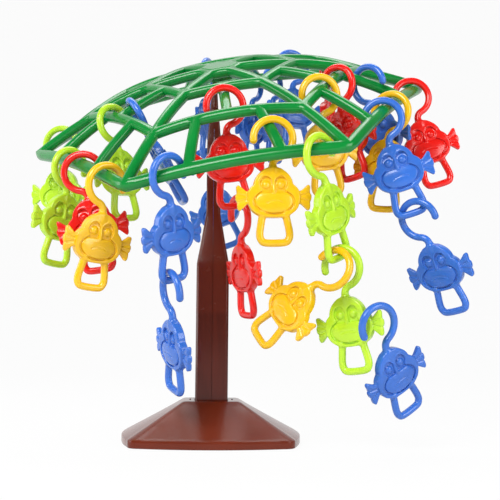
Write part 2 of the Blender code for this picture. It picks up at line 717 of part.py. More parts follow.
def hook_drop(turn, along, corners, slide):
    """How far below the bar's centre the hook's centre hangs: as far as leaves the rod one
    gap clear of the bar, all round the hook.  The slide moves the hook sideways first."""
    path = np.array([(x + slide, 0.0, z) for x, z in hook_path()])
    dense = np.concatenate([path[:-1] + (path[1:] - path[:-1]) * share for share in np.linspace(0, 1, 9)])
    rod = dense @ np.array(turn).T
    axis = np.array(along)
    if corners is None:
        edges, clear = np.zeros((1, 3)), 2 * ROD_RADIUS + GAP
    else:
        edges, clear = np.array([tuple(corner) for corner in corners]), ROD_RADIUS + GAP

    def room(drop):
        offset = rod[:, None, :] - np.array((0.0, 0.0, drop)) - edges[None, :, :]
        aside = offset - (offset @ axis)[..., None] * axis
        return np.linalg.norm(aside, axis=2).min() - clear

    low, high = 0.0, HOOK_RADIUS
    for _ in range(40):
        half = (low + high) / 2
        if room(half) > 0:
            low = half
        else:
            high = half
    return low


def skin_of(points, polygons, place):
    return BVHTree.FromPolygons([place @ point for point in points], polygons)


def points_and_polygons(thing):
    seen = thing.evaluated_get(bpy.context.evaluated_depsgraph_get()).to_mesh()
    return [vertex.co.copy() for vertex in seen.vertices], [tuple(face.vertices) for face in seen.polygons]


def settled_drop(drop, carrier, mesh, place, hook):
    """The hook let down from a clear place until its skin would meet what carries it, then
    raised by the gap that lets it swing."""
    bpy.context.view_layer.update()
    under = skin_of(*points_and_polygons(carrier), carrier.matrix_world)
    points = [vertex.co for vertex in mesh.vertices]
    polygons = [tuple(face.vertices) for face in mesh.polygons]
    low, high = drop - ROD_RADIUS, drop + ROD_RADIUS
    for _ in range(SETTLE_STEPS):
        half = (low + high) / 2
        lowered = Matrix.Translation(place - Vector((0.0, 0.0, half))) @ hook
        if skin_of(points, polygons, lowered).overlap(under):
            high = half
        else:
            low = half
    return low - HOOK_GAP


def hang_monkeys(group, carriers, mesh):
    """Hang each monkey from its bar, or from the leg loop of the monkey above it."""
    meshes = {}
    for colour, value in MONKEY_COLOURS.items():
        meshes[colour] = mesh.copy()
        meshes[colour].materials.clear()
        meshes[colour].materials.append(plastic(colour + "_plastic", value))
    hung = {}
    for name, facing, carrier, share, slide_share, turn, nod, tilt in MONKEY_PLACE_SHARES:
        attitude = (Matrix.Rotation(math.radians(turn), 3, "Z") @ Matrix.Rotation(math.radians(nod), 3, "X")
                    @ Matrix.Rotation(math.radians(tilt), 3, "Y") @ Matrix.Rotation(facing, 3, "Z"))
        if carrier[0] in hung:
            frame = {"loop": loop_frame, "ear": ear_frame}[carrier[1]]
            place, along, corners = frame(hung[carrier[0]], share)
            parent = carriers["monkey_" + carrier[0]]
        else:
            place, along, corners = bar_frame(*carrier, share)
            parent = carriers["canopy"]
        slide = slide_share * HOOK_RADIUS
        slid = attitude.to_4x4() @ Matrix.Translation((slide, 0.0, 0.0))
        drop = settled_drop(hook_drop(attitude, along, corners, slide), parent, mesh, place, slid)
        hook = Matrix.Translation((0.0, 0.0, -drop)) @ slid
        swing = bpy.data.objects.new("swing_of_" + name, None)
        group.objects.link(swing)
        swing.parent = parent
        bpy.context.view_layer.update()
        swing.matrix_world = Matrix.Translation(place)
        monkey = bpy.data.objects.new("monkey_" + name, meshes[name.split("_")[0]])
        group.objects.link(monkey)
        monkey.parent = swing
        monkey.matrix_local = hook
        hung[name] = Matrix.Translation(place) @ hook
        carriers["monkey_" + name] = monkey


def main():
    clear_scene()
    group = new_collection("balancing_tree_game")
    cutters = new_collection("cutters")
    bark = plastic("brown_trunk", BARK)
    leaf = plastic("green_canopy", LEAF)
    make_base(group, cutters)
    make_trunk_half("trunk_left", -1, group, bark)
    make_trunk_half("trunk_right", 1, group, bark)
    make_pivot_tip(group, bark)
    make_hub_socket(group, leaf)
    canopy = make_canopy(group, cutters, leaf)
    mesh = monkey_mesh(cutters)
    hang_monkeys(group, {"canopy": canopy}, mesh)
    bpy.context.view_layer.update()


main()
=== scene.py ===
"""Looks of the balancing tree game: smooth moulded monkeys, a rounded lattice canopy, the
two-part trunk and the base, in glossy plastic on a plain white sweep."""

import math

import bmesh
import bpy
import numpy as np
from mathutils import Matrix, Vector


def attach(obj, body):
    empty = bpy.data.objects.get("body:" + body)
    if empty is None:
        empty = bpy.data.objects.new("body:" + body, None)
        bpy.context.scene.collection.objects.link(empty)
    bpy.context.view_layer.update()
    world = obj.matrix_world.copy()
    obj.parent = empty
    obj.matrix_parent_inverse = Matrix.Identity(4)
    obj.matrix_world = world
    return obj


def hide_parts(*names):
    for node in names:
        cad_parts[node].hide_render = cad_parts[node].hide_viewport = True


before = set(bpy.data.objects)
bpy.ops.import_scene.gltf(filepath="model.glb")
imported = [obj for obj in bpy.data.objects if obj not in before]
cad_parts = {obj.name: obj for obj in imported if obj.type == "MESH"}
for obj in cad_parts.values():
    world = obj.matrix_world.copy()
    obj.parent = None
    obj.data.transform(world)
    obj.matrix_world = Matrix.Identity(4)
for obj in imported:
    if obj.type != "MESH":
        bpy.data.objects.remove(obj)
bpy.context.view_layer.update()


# The base is one hollow moulding of glossy brown plastic: a square with swelling sides, a
# low lip and four slopes up to a small plateau.  The trunk plugs into the plateau's socket,
# between two latch slots that are cut through.
MM = 0.001
BASE_HALF, BASE_BULGE, BASE_CORNER = 69.0, 8.5, 9.0
BASE_LIP, BASE_TOP, BASE_WALL = 6.6, 35.1, 2.4
BASE_YAW = 0.8
PLATEAU_HALF, PLATEAU_CORNER = 24.1, 3.0
SOCKET_HALF, SOCKET_CORNER, SOCKET_WALL, SOCKET_FLOOR = 14.5, 2.0, 2.4, 2.4
SLOT_ACROSS, SLOT_WIDTH, SLOT_LENGTH, SLOT_HEIGHT = 18.4, 1.2, 16.0, 8.0
SIDE_POINTS, CORNER_POINTS = 22, 9
BASE_BROWN = (0.150, 0.022, 0.008)
# Noises in cells to the metre, the depth of the skin's orange peel, and how far light
# spreads in the plastic for each of its colours, in metres.
BROAD_NOISE, FINE_NOISE, PEEL_NOISE = 26.0, 150.0, 1100.0
NOISE_DETAIL = 3.0
PEEL_DEPTH = 0.00012
GLOW_REACH = (0.004, 0.003, 0.002)


class Value:
    """One output in a material's nodes.  Sums, differences and products of these add Math
    nodes, so a pattern reads like the formula it is."""

    def __init__(self, paint, socket):
        self.paint = paint
        self.socket = socket

    def math(self, operation, first, second):
        return self.paint.node("ShaderNodeMath", {"operation": operation}, {0: first, 1: second})

    def __add__(self, other):
        return self.math("ADD", self, other)

    def __sub__(self, other):
        return self.math("SUBTRACT", self, other)

    def __rsub__(self, other):
        return self.math("SUBTRACT", other, self)

    def __mul__(self, other):
        return self.math("MULTIPLY", self, other)

    __radd__ = __add__
    __rmul__ = __mul__

    def between(self, low, high):
        """Zero below low, one above high, and a smooth step from one to the other."""
        return self.paint.node("ShaderNodeMapRange", {"interpolation_type": "SMOOTHSTEP"},
                               {"Value": self, "From Min": low, "From Max": high})


class Paint:
    """A material under construction: any node by its type, settings and sockets."""

    def __init__(self, name):
        self.material = bpy.data.materials.new(name)
        self.material.use_nodes = True
        self.tree = self.material.node_tree
        self.shader = self.tree.nodes["Principled BSDF"]

    def node(self, kind, settings, sockets, output=0):
        """A new node: its settings are set first, then its sockets; one output comes back."""
        made = self.tree.nodes.new(kind)
        for key, value in settings.items():
            setattr(made, key, value)
        self.fill(made, sockets)
        return Value(self, made.outputs[output])

    def fill(self, node, sockets):
        """Link each named socket to a Value, or set it to a plain number or colour."""
        for key, value in sockets.items():
            if isinstance(value, Value):
                self.tree.links.new(value.socket, node.inputs[key])
            else:
                node.inputs[key].default_value = value

    def place(self):
        return self.node("ShaderNodeTexCoord", {}, {}, "Object")

    def noise(self, scale, detail=2.0, place=None):
        sockets = {"Vector": place or self.place(), "Scale": scale, "Detail": detail}
        return self.node("ShaderNodeTexNoise", {}, sockets)

    def mix(self, share, first, second):
        """From the first colour to the second, by the share."""
        return self.node("ShaderNodeMix", {"data_type": "RGBA"}, {0: share, 6: first, 7: second}, 2)

    def peel(self, scale, strength):
        """The bumps of an orange peel, by a very fine noise."""
        sockets = {"Height": self.noise(scale), "Strength": strength, "Distance": PEEL_DEPTH}
        return self.node("ShaderNodeBump", {}, sockets)


def tint(colour, share):
    """A colour taken towards black for a share below one, and lifted above one."""
    return (*[min(1.0, part * share) for part in colour], 1.0)


def moulded(name, colour, roughness, shade, sheen, glow=0.0, mirror=0.5):
    """Glossy moulded plastic.  Its colour drifts a little between two shades by a broad
    noise, its gloss by a finer one, and a very fine noise gives the skin's orange peel."""
    paint = Paint(name)
    flow = paint.noise(BROAD_NOISE, NOISE_DETAIL).between(0.32, 0.68)
    cloud = paint.noise(FINE_NOISE, NOISE_DETAIL)
    paint.fill(paint.shader, {
        "Base Color": paint.mix(flow, tint(colour, shade), tint(colour, 1.0)),
        "Roughness": cloud * 0.10 + (roughness - 0.05),
        "Coat Weight": cloud.between(0.2, 0.8) * 0.25 * sheen + 0.15 * sheen,
        "Normal": paint.peel(PEEL_NOISE, 0.10),
        "IOR": 1.47,
        "Coat Roughness": 0.12,
        "Specular IOR Level": mirror,
        "Subsurface Weight": glow,
    })
    if glow:
        paint.fill(paint.shader, {"Subsurface Radius": GLOW_REACH, "Subsurface Scale": 0.4})
    return paint.material


def arc(centre, radius, start, end, steps):
    """Even turns on a circle: the centre plus the radius times the cosine and the sine."""
    turns = np.radians(np.linspace(start, end, steps + 1))
    return np.array(centre) + radius * np.stack([np.cos(turns), np.sin(turns)], axis=1)


def square_ring(half, bulge, corner, height):
    """A square with round corners; each side swells by the bulge times one less the square
    of how far along the side a point is.  One side and corner are turned four times."""
    along = np.linspace(-1, 1, SIDE_POINTS, endpoint=False)[1:]
    reach = half - corner
    side = np.stack([half + bulge * (1 - along ** 2), along * reach], axis=1)
    x, y = np.vstack([side, arc((reach, reach), corner, 0, 90, CORNER_POINTS)]).T
    turns = np.arange(4)[:, None] * math.pi / 2
    ring_x = (x * np.cos(turns) - y * np.sin(turns)).ravel()
    ring_y = (x * np.sin(turns) + y * np.cos(turns)).ravel()
    return np.stack([ring_x, ring_y, np.full(ring_x.shape, height)], axis=1)


def base_sections():
    """From the socket's floor, up its wall, out over the plateau, down the slope, round the
    lip, and back inside the shell to the underside of the socket."""
    across, rise = BASE_HALF - PLATEAU_HALF, BASE_TOP - BASE_LIP
    slope = across / rise
    wall_across = BASE_WALL * math.sqrt(1 + slope ** 2) / slope
    inner_rim = BASE_HALF - BASE_WALL
    inner_lip = BASE_LIP - wall_across + BASE_WALL / slope
    inner_top = PLATEAU_HALF - (wall_across - BASE_WALL) * slope
    under = BASE_TOP - BASE_WALL
    outer_socket = SOCKET_HALF + SOCKET_WALL

    def slope_ring(share, lift):
        """Part of the way up the slope, eased off it by a lift."""
        half = BASE_HALF + (PLATEAU_HALF - BASE_HALF) * share
        corner = BASE_CORNER + (PLATEAU_CORNER - BASE_CORNER) * share
        return square_ring(half, BASE_BULGE * (1 - share), corner, BASE_LIP + rise * share + lift)

    socket = ((0.0, SOCKET_FLOOR), (0.0, BASE_TOP - 0.5), (0.15, BASE_TOP - 0.15), (0.5, BASE_TOP))
    lip = ((0.1, BASE_LIP - 0.25), (0.0, BASE_LIP - 0.8), (0.0, 1.0), (0.25, 0.3), (0.8, 0.0))
    rings = [square_ring(SOCKET_HALF + out, 0, SOCKET_CORNER, height) for out, height in socket]
    rings += [
        square_ring(PLATEAU_HALF - 1.6, 0, PLATEAU_CORNER - 0.6, BASE_TOP),
        square_ring(PLATEAU_HALF - 0.7, 0, PLATEAU_CORNER - 0.3, BASE_TOP - 0.12),
        slope_ring(0.985, -0.12),
    ]
    rings += [slope_ring(share, 0.0) for share in (0.95, 0.85, 0.7, 0.5, 0.3, 0.15, 0.07, 0.035)]
    rings.append(slope_ring(0.015, -0.12))
    rings += [square_ring(BASE_HALF - inward, BASE_BULGE, BASE_CORNER, height) for inward, height in lip]
    rings += [
        square_ring(inner_rim, BASE_BULGE, BASE_CORNER - BASE_WALL, 0.0),
        square_ring(inner_rim, BASE_BULGE, BASE_CORNER - BASE_WALL, inner_lip),
        square_ring(inner_top, 0, PLATEAU_CORNER, under),
        square_ring(outer_socket, 0, SOCKET_CORNER, under),
        square_ring(outer_socket, 0, SOCKET_CORNER, 0.0),
    ]
    return rings


def mesh_of(name, points, faces):
    """A mesh from an array of points and the point numbers of its faces."""
    mesh = bpy.data.meshes.new(name)
    mesh.from_pydata(np.asarray(points).tolist(), [], [tuple(face) for face in faces])
    mesh.update()
    return mesh


def mesh_from(shape, name):
    """The mesh of an edited shape, and the shape freed."""
    mesh = bpy.data.meshes.new(name)
    shape.to_mesh(mesh)
    shape.free()
    return mesh


def tube_through(name, sections):
    """A closed skin, in metres, through sections of equal point counts: a quad from each
    point to the next one and to the same two of the next section, and a cap at each end."""
    sections = np.array(sections) * MM
    number = np.arange(sections.shape[0] * sections.shape[1]).reshape(sections.shape[:2])
    after = np.roll(number, -1, axis=1)
    quads = np.stack([number[:-1], after[:-1], after[1:], number[1:]], axis=2).reshape(-1, 4)
    return mesh_of(name, sections.reshape(-1, 3), [number[0][::-1], *quads, number[-1]])


def facing_out(mesh):
    """The same mesh with every face turned outwards."""
    shape = bmesh.new()
    shape.from_mesh(mesh)
    bmesh.ops.recalc_face_normals(shape, faces=shape.faces)
    shape.to_mesh(mesh)
    shape.free()
    return mesh


def smooth(mesh, degrees):
    """Smooth shading everywhere but across edges sharper than the angle."""
    mesh.polygons.foreach_set("use_smooth", np.ones(len(mesh.polygons), bool))
    mesh.set_sharp_from_angle(angle=math.radians(degrees))
    return mesh


def new_object(name, mesh, material):
    made = bpy.data.objects.new(name, mesh)
    bpy.context.scene.collection.objects.link(made)
    mesh.materials.clear()
    mesh.materials.append(material)
    return made


def baked(thing, name):
    """The object's mesh with its modifiers applied, and the object removed."""
    bpy.context.view_layer.update()
    seen = thing.evaluated_get(bpy.context.evaluated_depsgraph_get())
    mesh = bpy.data.meshes.new_from_object(seen)
    mesh.name = name
    bpy.data.objects.remove(thing)
    return mesh


def worked(mesh, name, material, *steps):
    """The mesh after exact booleans with tool meshes, whose objects are removed again."""
    thing = new_object("worked", mesh, material)
    tools = [new_object("tool", tool, material) for tool, _ in steps]
    for tool, (_, operation) in zip(tools, steps):
        cut = thing.modifiers.new("cut", "BOOLEAN")
        cut.operation = operation
        cut.object = tool
        cut.solver = "EXACT"
    mesh = baked(thing, name)
    for tool in tools:
        bpy.data.objects.remove(tool)
    return mesh


def show(name, mesh, material, body, slot, *nodes):
    """Put a finished piece on its body in place of the plain solids it stands for."""
    piece = new_object(name, mesh, material)
    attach(piece, body)
    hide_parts(*nodes)


def slot_tool(side):
    """A block through the plateau, as wide and long as a latch slot."""
    shape = bmesh.new()
    size = Matrix.Diagonal((SLOT_WIDTH * MM, SLOT_LENGTH * MM, SLOT_HEIGHT * MM, 1.0))
    place = (side * SLOT_ACROSS * MM, 0.0, (BASE_TOP - BASE_WALL / 2) * MM)
    bmesh.ops.create_cube(shape, size=1.0, matrix=Matrix.Translation(place) @ size)
    return mesh_from(shape, "slot_tool")


def make_base():
    shell = facing_out(tube_through("base_shape", base_sections()))
    plastic = moulded("base_look", BASE_BROWN, 0.20, 0.88, 0.3, mirror=0.25)
    cuts = [(slot_tool(side), "DIFFERENCE") for side in (-1, 1)]
    mesh = worked(shell, "base_look", plastic, *cuts)
    mesh.transform(Matrix.Rotation(math.radians(BASE_YAW), 4, "Z"))
    smooth(mesh, degrees=28)
    show("base_look", mesh, plastic, "stand", "brown_plastic", "base")


make_base()


# The trunk is two hollow shells of brown plastic, moulded as halves and joined on a seam:
# square with narrow flats on the corners, with a shoulder, a thin neck and a pointed top.
# Its foot stands in the base's socket.
TRUNK_STEP = 12.0
SEAM = 0.15
CORNER_ROUND = 0.55
BARK = (0.092, 0.011, 0.004)
BARK_FINE_NOISE, BARK_PEEL_NOISE = 120.0, 900.0
# Heights in metres over which the trunk's brown steps from deeper below to lighter above.
TINT_STEP_LOW, TINT_STEP_HIGH = 0.108, 0.114
# A station is a height, half the width, the flat's cut and the wall, in millimetres.
TRUNK_STATIONS = (
    (2.7, 14.2, 2.0, 2.0), (60.0, 14.2, 2.0, 2.0), (110.0, 14.2, 2.0, 2.0), (148.0, 14.2, 2.0, 2.0),
    (154.0, 14.1, 2.0, 2.0), (158.0, 13.45, 1.95, 1.95), (170.0, 11.2, 1.8, 1.8), (184.0, 8.9, 1.6, 1.7),
    (194.0, 7.1, 1.5, 1.6), (199.0, 6.4, 1.42, 1.6), (204.0, 6.2, 1.4, 1.6), (230.0, 6.2, 1.4, 1.6),
    (261.0, 6.2, 1.4, 1.6), (266.0, 6.1, 1.4, 1.6), (270.0, 5.75, 1.3, 1.5), (282.0, 4.7, 1.15, 1.4),
    (294.0, 3.6, 1.0, 1.3),
)


def bark_plastic():
    """The trunk's brown: moulded plastic that is a shade deeper below a set height and
    lighter, rougher and less coated above it, with faint flow lines drawn out along the trunk."""
    paint = Paint("bark_plastic")
    up = paint.node("ShaderNodeSeparateXYZ", {}, {0: paint.place()}, "Z")
    drawn = {"Vector": paint.place(), "Scale": (60.0, 60.0, 4.0)}
    flow = paint.noise(3.0, NOISE_DETAIL, paint.node("ShaderNodeMapping", {}, drawn))
    # Nothing below the step height and one above it: the brown is deeper below and lighter above.
    lifted = up.between(TINT_STEP_LOW, TINT_STEP_HIGH)
    shade = paint.mix(lifted, tint(BARK, 0.82), tint(BARK, 1.12))
    cloud = paint.noise(BARK_FINE_NOISE, NOISE_DETAIL)
    paint.fill(paint.shader, {
        "Base Color": paint.mix(flow.between(0.35, 0.7) * 0.35, shade, tint(BARK, 1.35)),
        "Roughness": cloud * 0.08 + lifted * 0.05 + 0.17,
        "Coat Weight": 0.22 - lifted * 0.10,
        "Normal": paint.peel(BARK_PEEL_NOISE, 0.08),
        "IOR": 1.48,
        "Specular IOR Level": 0.3,
        "Coat Roughness": 0.10,
    })
    return paint.material


def rounded_corners(points, radius, steps):
    """Each corner of an open outline replaced by points on a quadratic curve: the square of
    what is left times one side, twice the product times the corner, the square times the other."""
    points = np.array(points, float)
    t = np.linspace(0.0, 1.0, steps + 1)[:, None]
    made = [points[:1]]
    for before, here, after in zip(points, points[1:], points[2:]):
        back, on = before - here, after - here
        cut = min(radius, 0.45 * np.hypot(*back), 0.45 * np.hypot(*on))
        start, end = here + back / np.hypot(*back) * cut, here + on / np.hypot(*on) * cut
        made.append((1 - t) ** 2 * start + 2 * t * (1 - t) * here + t * t * end)
    return np.vstack([*made, points[-1:]])


def trunk_outline(half, chamfer, wall):
    """Half of the hollow section, from the front seam round the outside and back inside."""
    flat = half - chamfer
    inner = half - wall
    inner_flat = inner - chamfer * inner / half
    outside = [(SEAM, -half), (flat, -half), (half, -flat), (half, flat), (flat, half), (SEAM, half)]
    inside = [(SEAM, inner), (inner_flat, inner), (inner, inner_flat), (inner, -inner_flat),
              (inner_flat, -inner), (SEAM, -inner)]
    return np.vstack([rounded_corners(outside, CORNER_ROUND, 3), inside])


def even_stations(stations, step):
    """The stations with even ones put in between, each value on a straight run."""
    heights = np.array([station[0] for station in stations])
    made = []
    for low, high in zip(heights, heights[1:]):
        made += list(np.linspace(low, high, max(1, round((high - low) / step)), endpoint=False))
    made.append(heights[-1])
    return [(height, *[np.interp(height, heights, [station[place] for station in stations])
                       for place in (1, 2, 3)]) for height in made]


def trunk_section(side, height, half, chamfer, wall):
    """The outline at its height, mirrored for the left half."""
    x, y = trunk_outline(half, chamfer, wall).T
    return np.stack([side * x, y, np.full(x.shape, height)], axis=1)


def make_trunk_half(name, side, plastic):
    stations = even_stations(TRUNK_STATIONS, TRUNK_STEP)
    mesh = tube_through(name + "_look", [trunk_section(side, *station) for station in stations])
    mesh.transform(Matrix.Rotation(math.radians(BASE_YAW), 4, "Z"))
    smooth(facing_out(mesh), degrees=26)
    show(name + "_look", mesh, plastic, "stand", "brown_plastic", name)


TRUNK_PLASTIC = bark_plastic()
for half_name, half_side in (("trunk_left", -1), ("trunk_right", 1)):
    make_trunk_half(half_name, half_side, TRUNK_PLASTIC)


# The pivot tip is a turned pin of the trunk's brown plastic that ends in a ball.  Its shank
# sits in the trunk's pointed top, and the canopy balances on the ball.
PIVOT_UP = 322.8 * MM
# Heights are from the ball's centre, in millimetres.
BALL, PIN_NECK, PIN_FOOT = 3.6, 2.0, -28.5
TURNED_STEPS = 32


def turned_mesh(name, profile, steps):
    """A profile of radius and height spun about Z: the radius times the cosine and the sine
    of each even turn.  A radius of nothing is one point, where the quads become triangles."""
    radius, height = np.array(profile).T[:, :, None]
    turns = 2 * math.pi * np.arange(steps) / steps
    grid = np.stack(np.broadcast_arrays(radius * np.cos(turns), radius * np.sin(turns), height), axis=2)
    kept = (radius > 0.0) | (np.arange(steps) == 0)
    number = np.cumsum(kept).reshape(kept.shape) - 1
    number = np.where(radius > 0.0, number, number[:, :1])
    after = np.roll(number, -1, axis=1)
    quads = np.stack([number[:-1], number[1:], after[1:], after[:-1]], axis=2).reshape(-1, 4)
    return mesh_of(name, grid[kept], [tuple(dict.fromkeys(quad)) for quad in quads.tolist()])


def make_pivot_tip():
    neck = math.degrees(math.acos(PIN_NECK / BALL))
    ball = arc((0.0, 0.0), BALL, 90, -neck, 13)
    ball[0] = (0.0, BALL)
    shank = [(2.1, -4.0), (2.6, -12.0), (3.3, PIN_FOOT + 3.6), (3.4, PIN_FOOT + 3.0),
             (3.4, PIN_FOOT + 0.2), (3.2, PIN_FOOT), (1.8, PIN_FOOT), (1.8, PIN_FOOT - 17.6),
             (1.4, PIN_FOOT - 18.0), (0.0, PIN_FOOT - 18.0)]
    mesh = turned_mesh("pivot_tip_look", np.vstack([ball, shank]) * MM, TURNED_STEPS)
    mesh.transform(Matrix.Translation((0.0, 0.0, PIVOT_UP)))
    smooth(facing_out(mesh), degrees=35)
    show("pivot_tip_look", mesh, TRUNK_PLASTIC, "pivot_tip", "brown_plastic", "pivot_tip")


make_pivot_tip()


# The hub socket is a thin round cup of the canopy's green plastic, turned, that sits in the
# hub from below and over the ball.  It leans and turns as the canopy does.
CUP_INSIDE, CUP_OUTSIDE = BALL + 0.3, BALL + 1.9
DIP, HEEL, TURN = 24.9, -10.8, 1.5
LEAF = (0.001, 0.222, 0.032)


def canopy_place():
    """Turned, heeled and then dipped about the ball's centre, in degrees."""
    turns = Matrix.Rotation(math.radians(DIP), 4, "X") @ Matrix.Rotation(math.radians(HEEL), 4, "Y")
    return Matrix.Translation((0.0, 0.0, PIVOT_UP)) @ turns @ Matrix.Rotation(math.radians(TURN), 4, "Z")


def make_hub_socket():
    outside = arc((0.0, 0.0), CUP_OUTSIDE, 90, 0, 9)
    inside = arc((0.0, 0.0), CUP_INSIDE, 0, 90, 9)
    outside[0], inside[-1] = (0.0, CUP_OUTSIDE), (0.0, CUP_INSIDE)
    cup = turned_mesh("hub_socket_look", np.vstack([outside, inside]) * MM, TURNED_STEPS)
    cup.transform(canopy_place())
    smooth(facing_out(cup), degrees=35)
    show("hub_socket_look", cup, LEAF_PLASTIC, "hub_socket", "green_plastic", "hub_socket")


LEAF_PLASTIC = moulded("leaf_look", LEAF, 0.24, 0.86, 0.8, mirror=0.35)
make_hub_socket()


# The canopy is one green moulding: a shallow dome of rounded bars, in three six-sided rings
# with rays between them, and a six-sided hub with a round dish on top.  It balances on the
# ball, and the monkeys hang from its bars.
RING_REACHES = (67.0 * MM, 122.5 * MM, 177.2 * MM)
RING_DROPS = (6.0 * MM, 22.8 * MM, 48.0 * MM)
BAR, BAR_ROUND = 8.8 * MM, 3.9 * MM
ROUND_STEPS = 5
HUB_REACH = 17.0 * MM
HUB_BELOW, HUB_PROUD, HUB_ROUND = 3.4 * MM, 0.25 * MM, 1.2 * MM
DISH_REACH, DISH_DEPTH = 12.0 * MM, 2.5 * MM
RECESS_REACH = 6.6 * MM
ABOVE_PIVOT, OFF_CENTRE = 6.3 * MM, 6.0 * MM
NEAR_RAY, FAR_RAY = 0.29, 0.71
OUTER_FLATNESS = 0.57
CORNER_EASE = 36
LATTICE_STEP = 6.0 * MM
SLOPE_SPAN = 0.1 * MM
SIDE_TURNS = [math.radians(turn) for turn in (30, 90, 150)]
ROUND_TURNS = [math.pi / 2 * step / ROUND_STEPS for step in range(ROUND_STEPS + 1)]
ROUND_OUTS = [BAR / 2 - BAR_ROUND + BAR_ROUND * math.sin(turn) for turn in ROUND_TURNS]
ROUND_HEIGHTS = [BAR / 2 - BAR_ROUND + BAR_ROUND * math.cos(turn) for turn in ROUND_TURNS]


def ring_corner(reach, corner):
    """A corner of a six-sided ring: the reach times the cosine and the sine of the turn."""
    turn = math.radians(60 * corner - 180)
    return Vector((reach * math.cos(turn), reach * math.sin(turn)))


def on_side(reach, side, share):
    """A point at a share of the way along one side of a ring."""
    return ring_corner(reach, side).lerp(ring_corner(reach, side + 1), share)


def dome_drop(reach):
    """A parabola's drop, the steepness blended evenly between the three rings."""
    steepness = [drop / ring ** 2 for ring, drop in zip(RING_REACHES, RING_DROPS)]
    return float(np.interp(reach, RING_REACHES, steepness)) * reach ** 2


def on_dome(x, y):
    """A plan point on the dome.  Outside the middle ring the drop runs flatter, by a share of
    the reach to the ring's side; outer corners are eased in by a power mean of three spans."""
    spans = [abs(x * math.cos(turn) + y * math.sin(turn)) for turn in SIDE_TURNS]
    side_reach = max(spans) / math.cos(math.pi / 6)
    outward = (side_reach - RING_REACHES[1]) / (RING_REACHES[2] - RING_REACHES[1])
    flat = OUTER_FLATNESS * min(max(outward, 0.0), 1.0)
    drop = dome_drop(math.hypot(x, y) * (1 - flat) + side_reach * flat)
    beyond = (side_reach - RING_REACHES[2]) * math.cos(math.pi / 6) / (BAR / 2)
    if beyond > 0:
        spread = sum((span / max(spans)) ** CORNER_EASE for span in spans) ** (1 / CORNER_EASE)
        inward = 1 / (1 + (spread - 1) * min(beyond, 1.0))
        x, y = x * inward, y * inward
    return Vector((x + OFF_CENTRE, y, ABOVE_PIVOT - drop))


def dome_normal(x, y):
    """Square to the dome, from its slopes over a tenth of a millimetre."""
    here = Vector((x, y, -dome_drop(math.hypot(x, y))))
    right = Vector((x + SLOPE_SPAN, y, -dome_drop(math.hypot(x + SLOPE_SPAN, y)))) - here
    ahead = Vector((x, y + SLOPE_SPAN, -dome_drop(math.hypot(x, y + SLOPE_SPAN)))) - here
    return right.cross(ahead).normalized()


class Lattice:
    """The lattice in plan, with its corner points shared between openings."""

    def __init__(self):
        self.shape = bmesh.new()
        self.known = {}
        self.levels = {}

    def vertex(self, point):
        """The one vertex at a place, known by its hundredths of a millimetre."""
        key = (round(point[0] * 1e5), round(point[1] * 1e5))
        if key not in self.known:
            self.known[key] = self.shape.verts.new((point[0], point[1], 0.0))
        return self.known[key]

    def between(self, start, end):
        """Shared points at even steps from the start to the last one before the end."""
        steps = max(1, round((end - start).length / LATTICE_STEP))
        return [self.vertex(start.lerp(end, step / steps)) for step in range(steps)]

    def opening(self, corners):
        """Rows of quads round one opening.  A corner moves in along its mitre, which is
        (n + m) / (1 + n . m) for the inward normals n and m of its two sides."""
        if sum(a.cross(b) for a, b in zip(corners, corners[1:] + corners[:1])) < 0:
            corners = corners[::-1]
        sides = list(zip(corners, corners[1:] + corners[:1]))
        normals = [Vector((a.y - b.y, b.x - a.x)).normalized() for a, b in sides]
        mitres = [(m + n) / (1 + m.dot(n)) for m, n in zip(normals[-1:] + normals, normals)]
        counts = [max(1, round((b - a).length / LATTICE_STEP)) for a, b in sides]
        row = [vertex for a, b in sides for vertex in self.between(a, b)]
        for level, out in enumerate(ROUND_OUTS):
            moved = [corner + mitre * out for corner, mitre in zip(corners, mitres)]
            runs = zip(moved, moved[1:] + moved[:1], counts)
            places = [a.lerp(b, step / count) for a, b, count in runs for step in range(count)]
            inside = [self.shape.verts.new((*place, 0.0)) for place in places]
            self.levels.update((vertex, level) for vertex in inside)
            self.quads(row + row[:1], inside + inside[:1])
            row = inside

    def quads(self, right, left):
        """A strip of quads that face up, between two rows that run the same way."""
        for place in range(len(right) - 1):
            self.shape.faces.new((right[place], right[place + 1], left[place + 1], left[place]))

    def rim(self, corner):
        """The outer half of one side of the outer ring, in strips as wide as the insets."""
        side = []
        corners = [on_side(RING_REACHES[2], corner, share) for share in (0, NEAR_RAY, FAR_RAY, 1)]
        for start, end in zip(corners, corners[1:]):
            side += self.between(start, end)
        side.append(self.vertex(corners[-1]))
        row = side
        for level, out in enumerate(ROUND_OUTS):
            grow = 1 + out / (RING_REACHES[2] * math.cos(math.pi / 6))
            outside = [self.vertex(vertex.co.xy * grow) for vertex in side]
            self.levels.update((vertex, level) for vertex in outside)
            self.quads(outside, row)
            row = outside


def openings_of_sixth(lattice, side):
    """The six openings between one ray of the hub and the next, as loops of corners."""
    inner_reach, middle_reach, outer_reach = RING_REACHES
    hub, next_hub = ring_corner(HUB_REACH, side), ring_corner(HUB_REACH, side + 1)
    inner, inner_mid, next_inner = (on_side(inner_reach, side, share) for share in (0, 0.5, 1))
    shares = (0, NEAR_RAY, 0.5, FAR_RAY, 1)
    middle, near, middle_mid, far, next_middle = (on_side(middle_reach, side, share) for share in shares)
    outer, outer_near, _, outer_far, next_outer = (on_side(outer_reach, side, share) for share in shares)
    corners = (
        [hub, inner, inner_mid, next_inner, next_hub],
        [inner, middle, near, middle_mid, inner_mid],
        [inner_mid, middle_mid, far, next_middle, next_inner],
        [middle, outer, outer_near, near],
        [near, outer_near, outer_far, far, middle_mid],
        [far, outer_far, next_outer, next_middle],
    )
    for loop in corners:
        lattice.opening(loop)


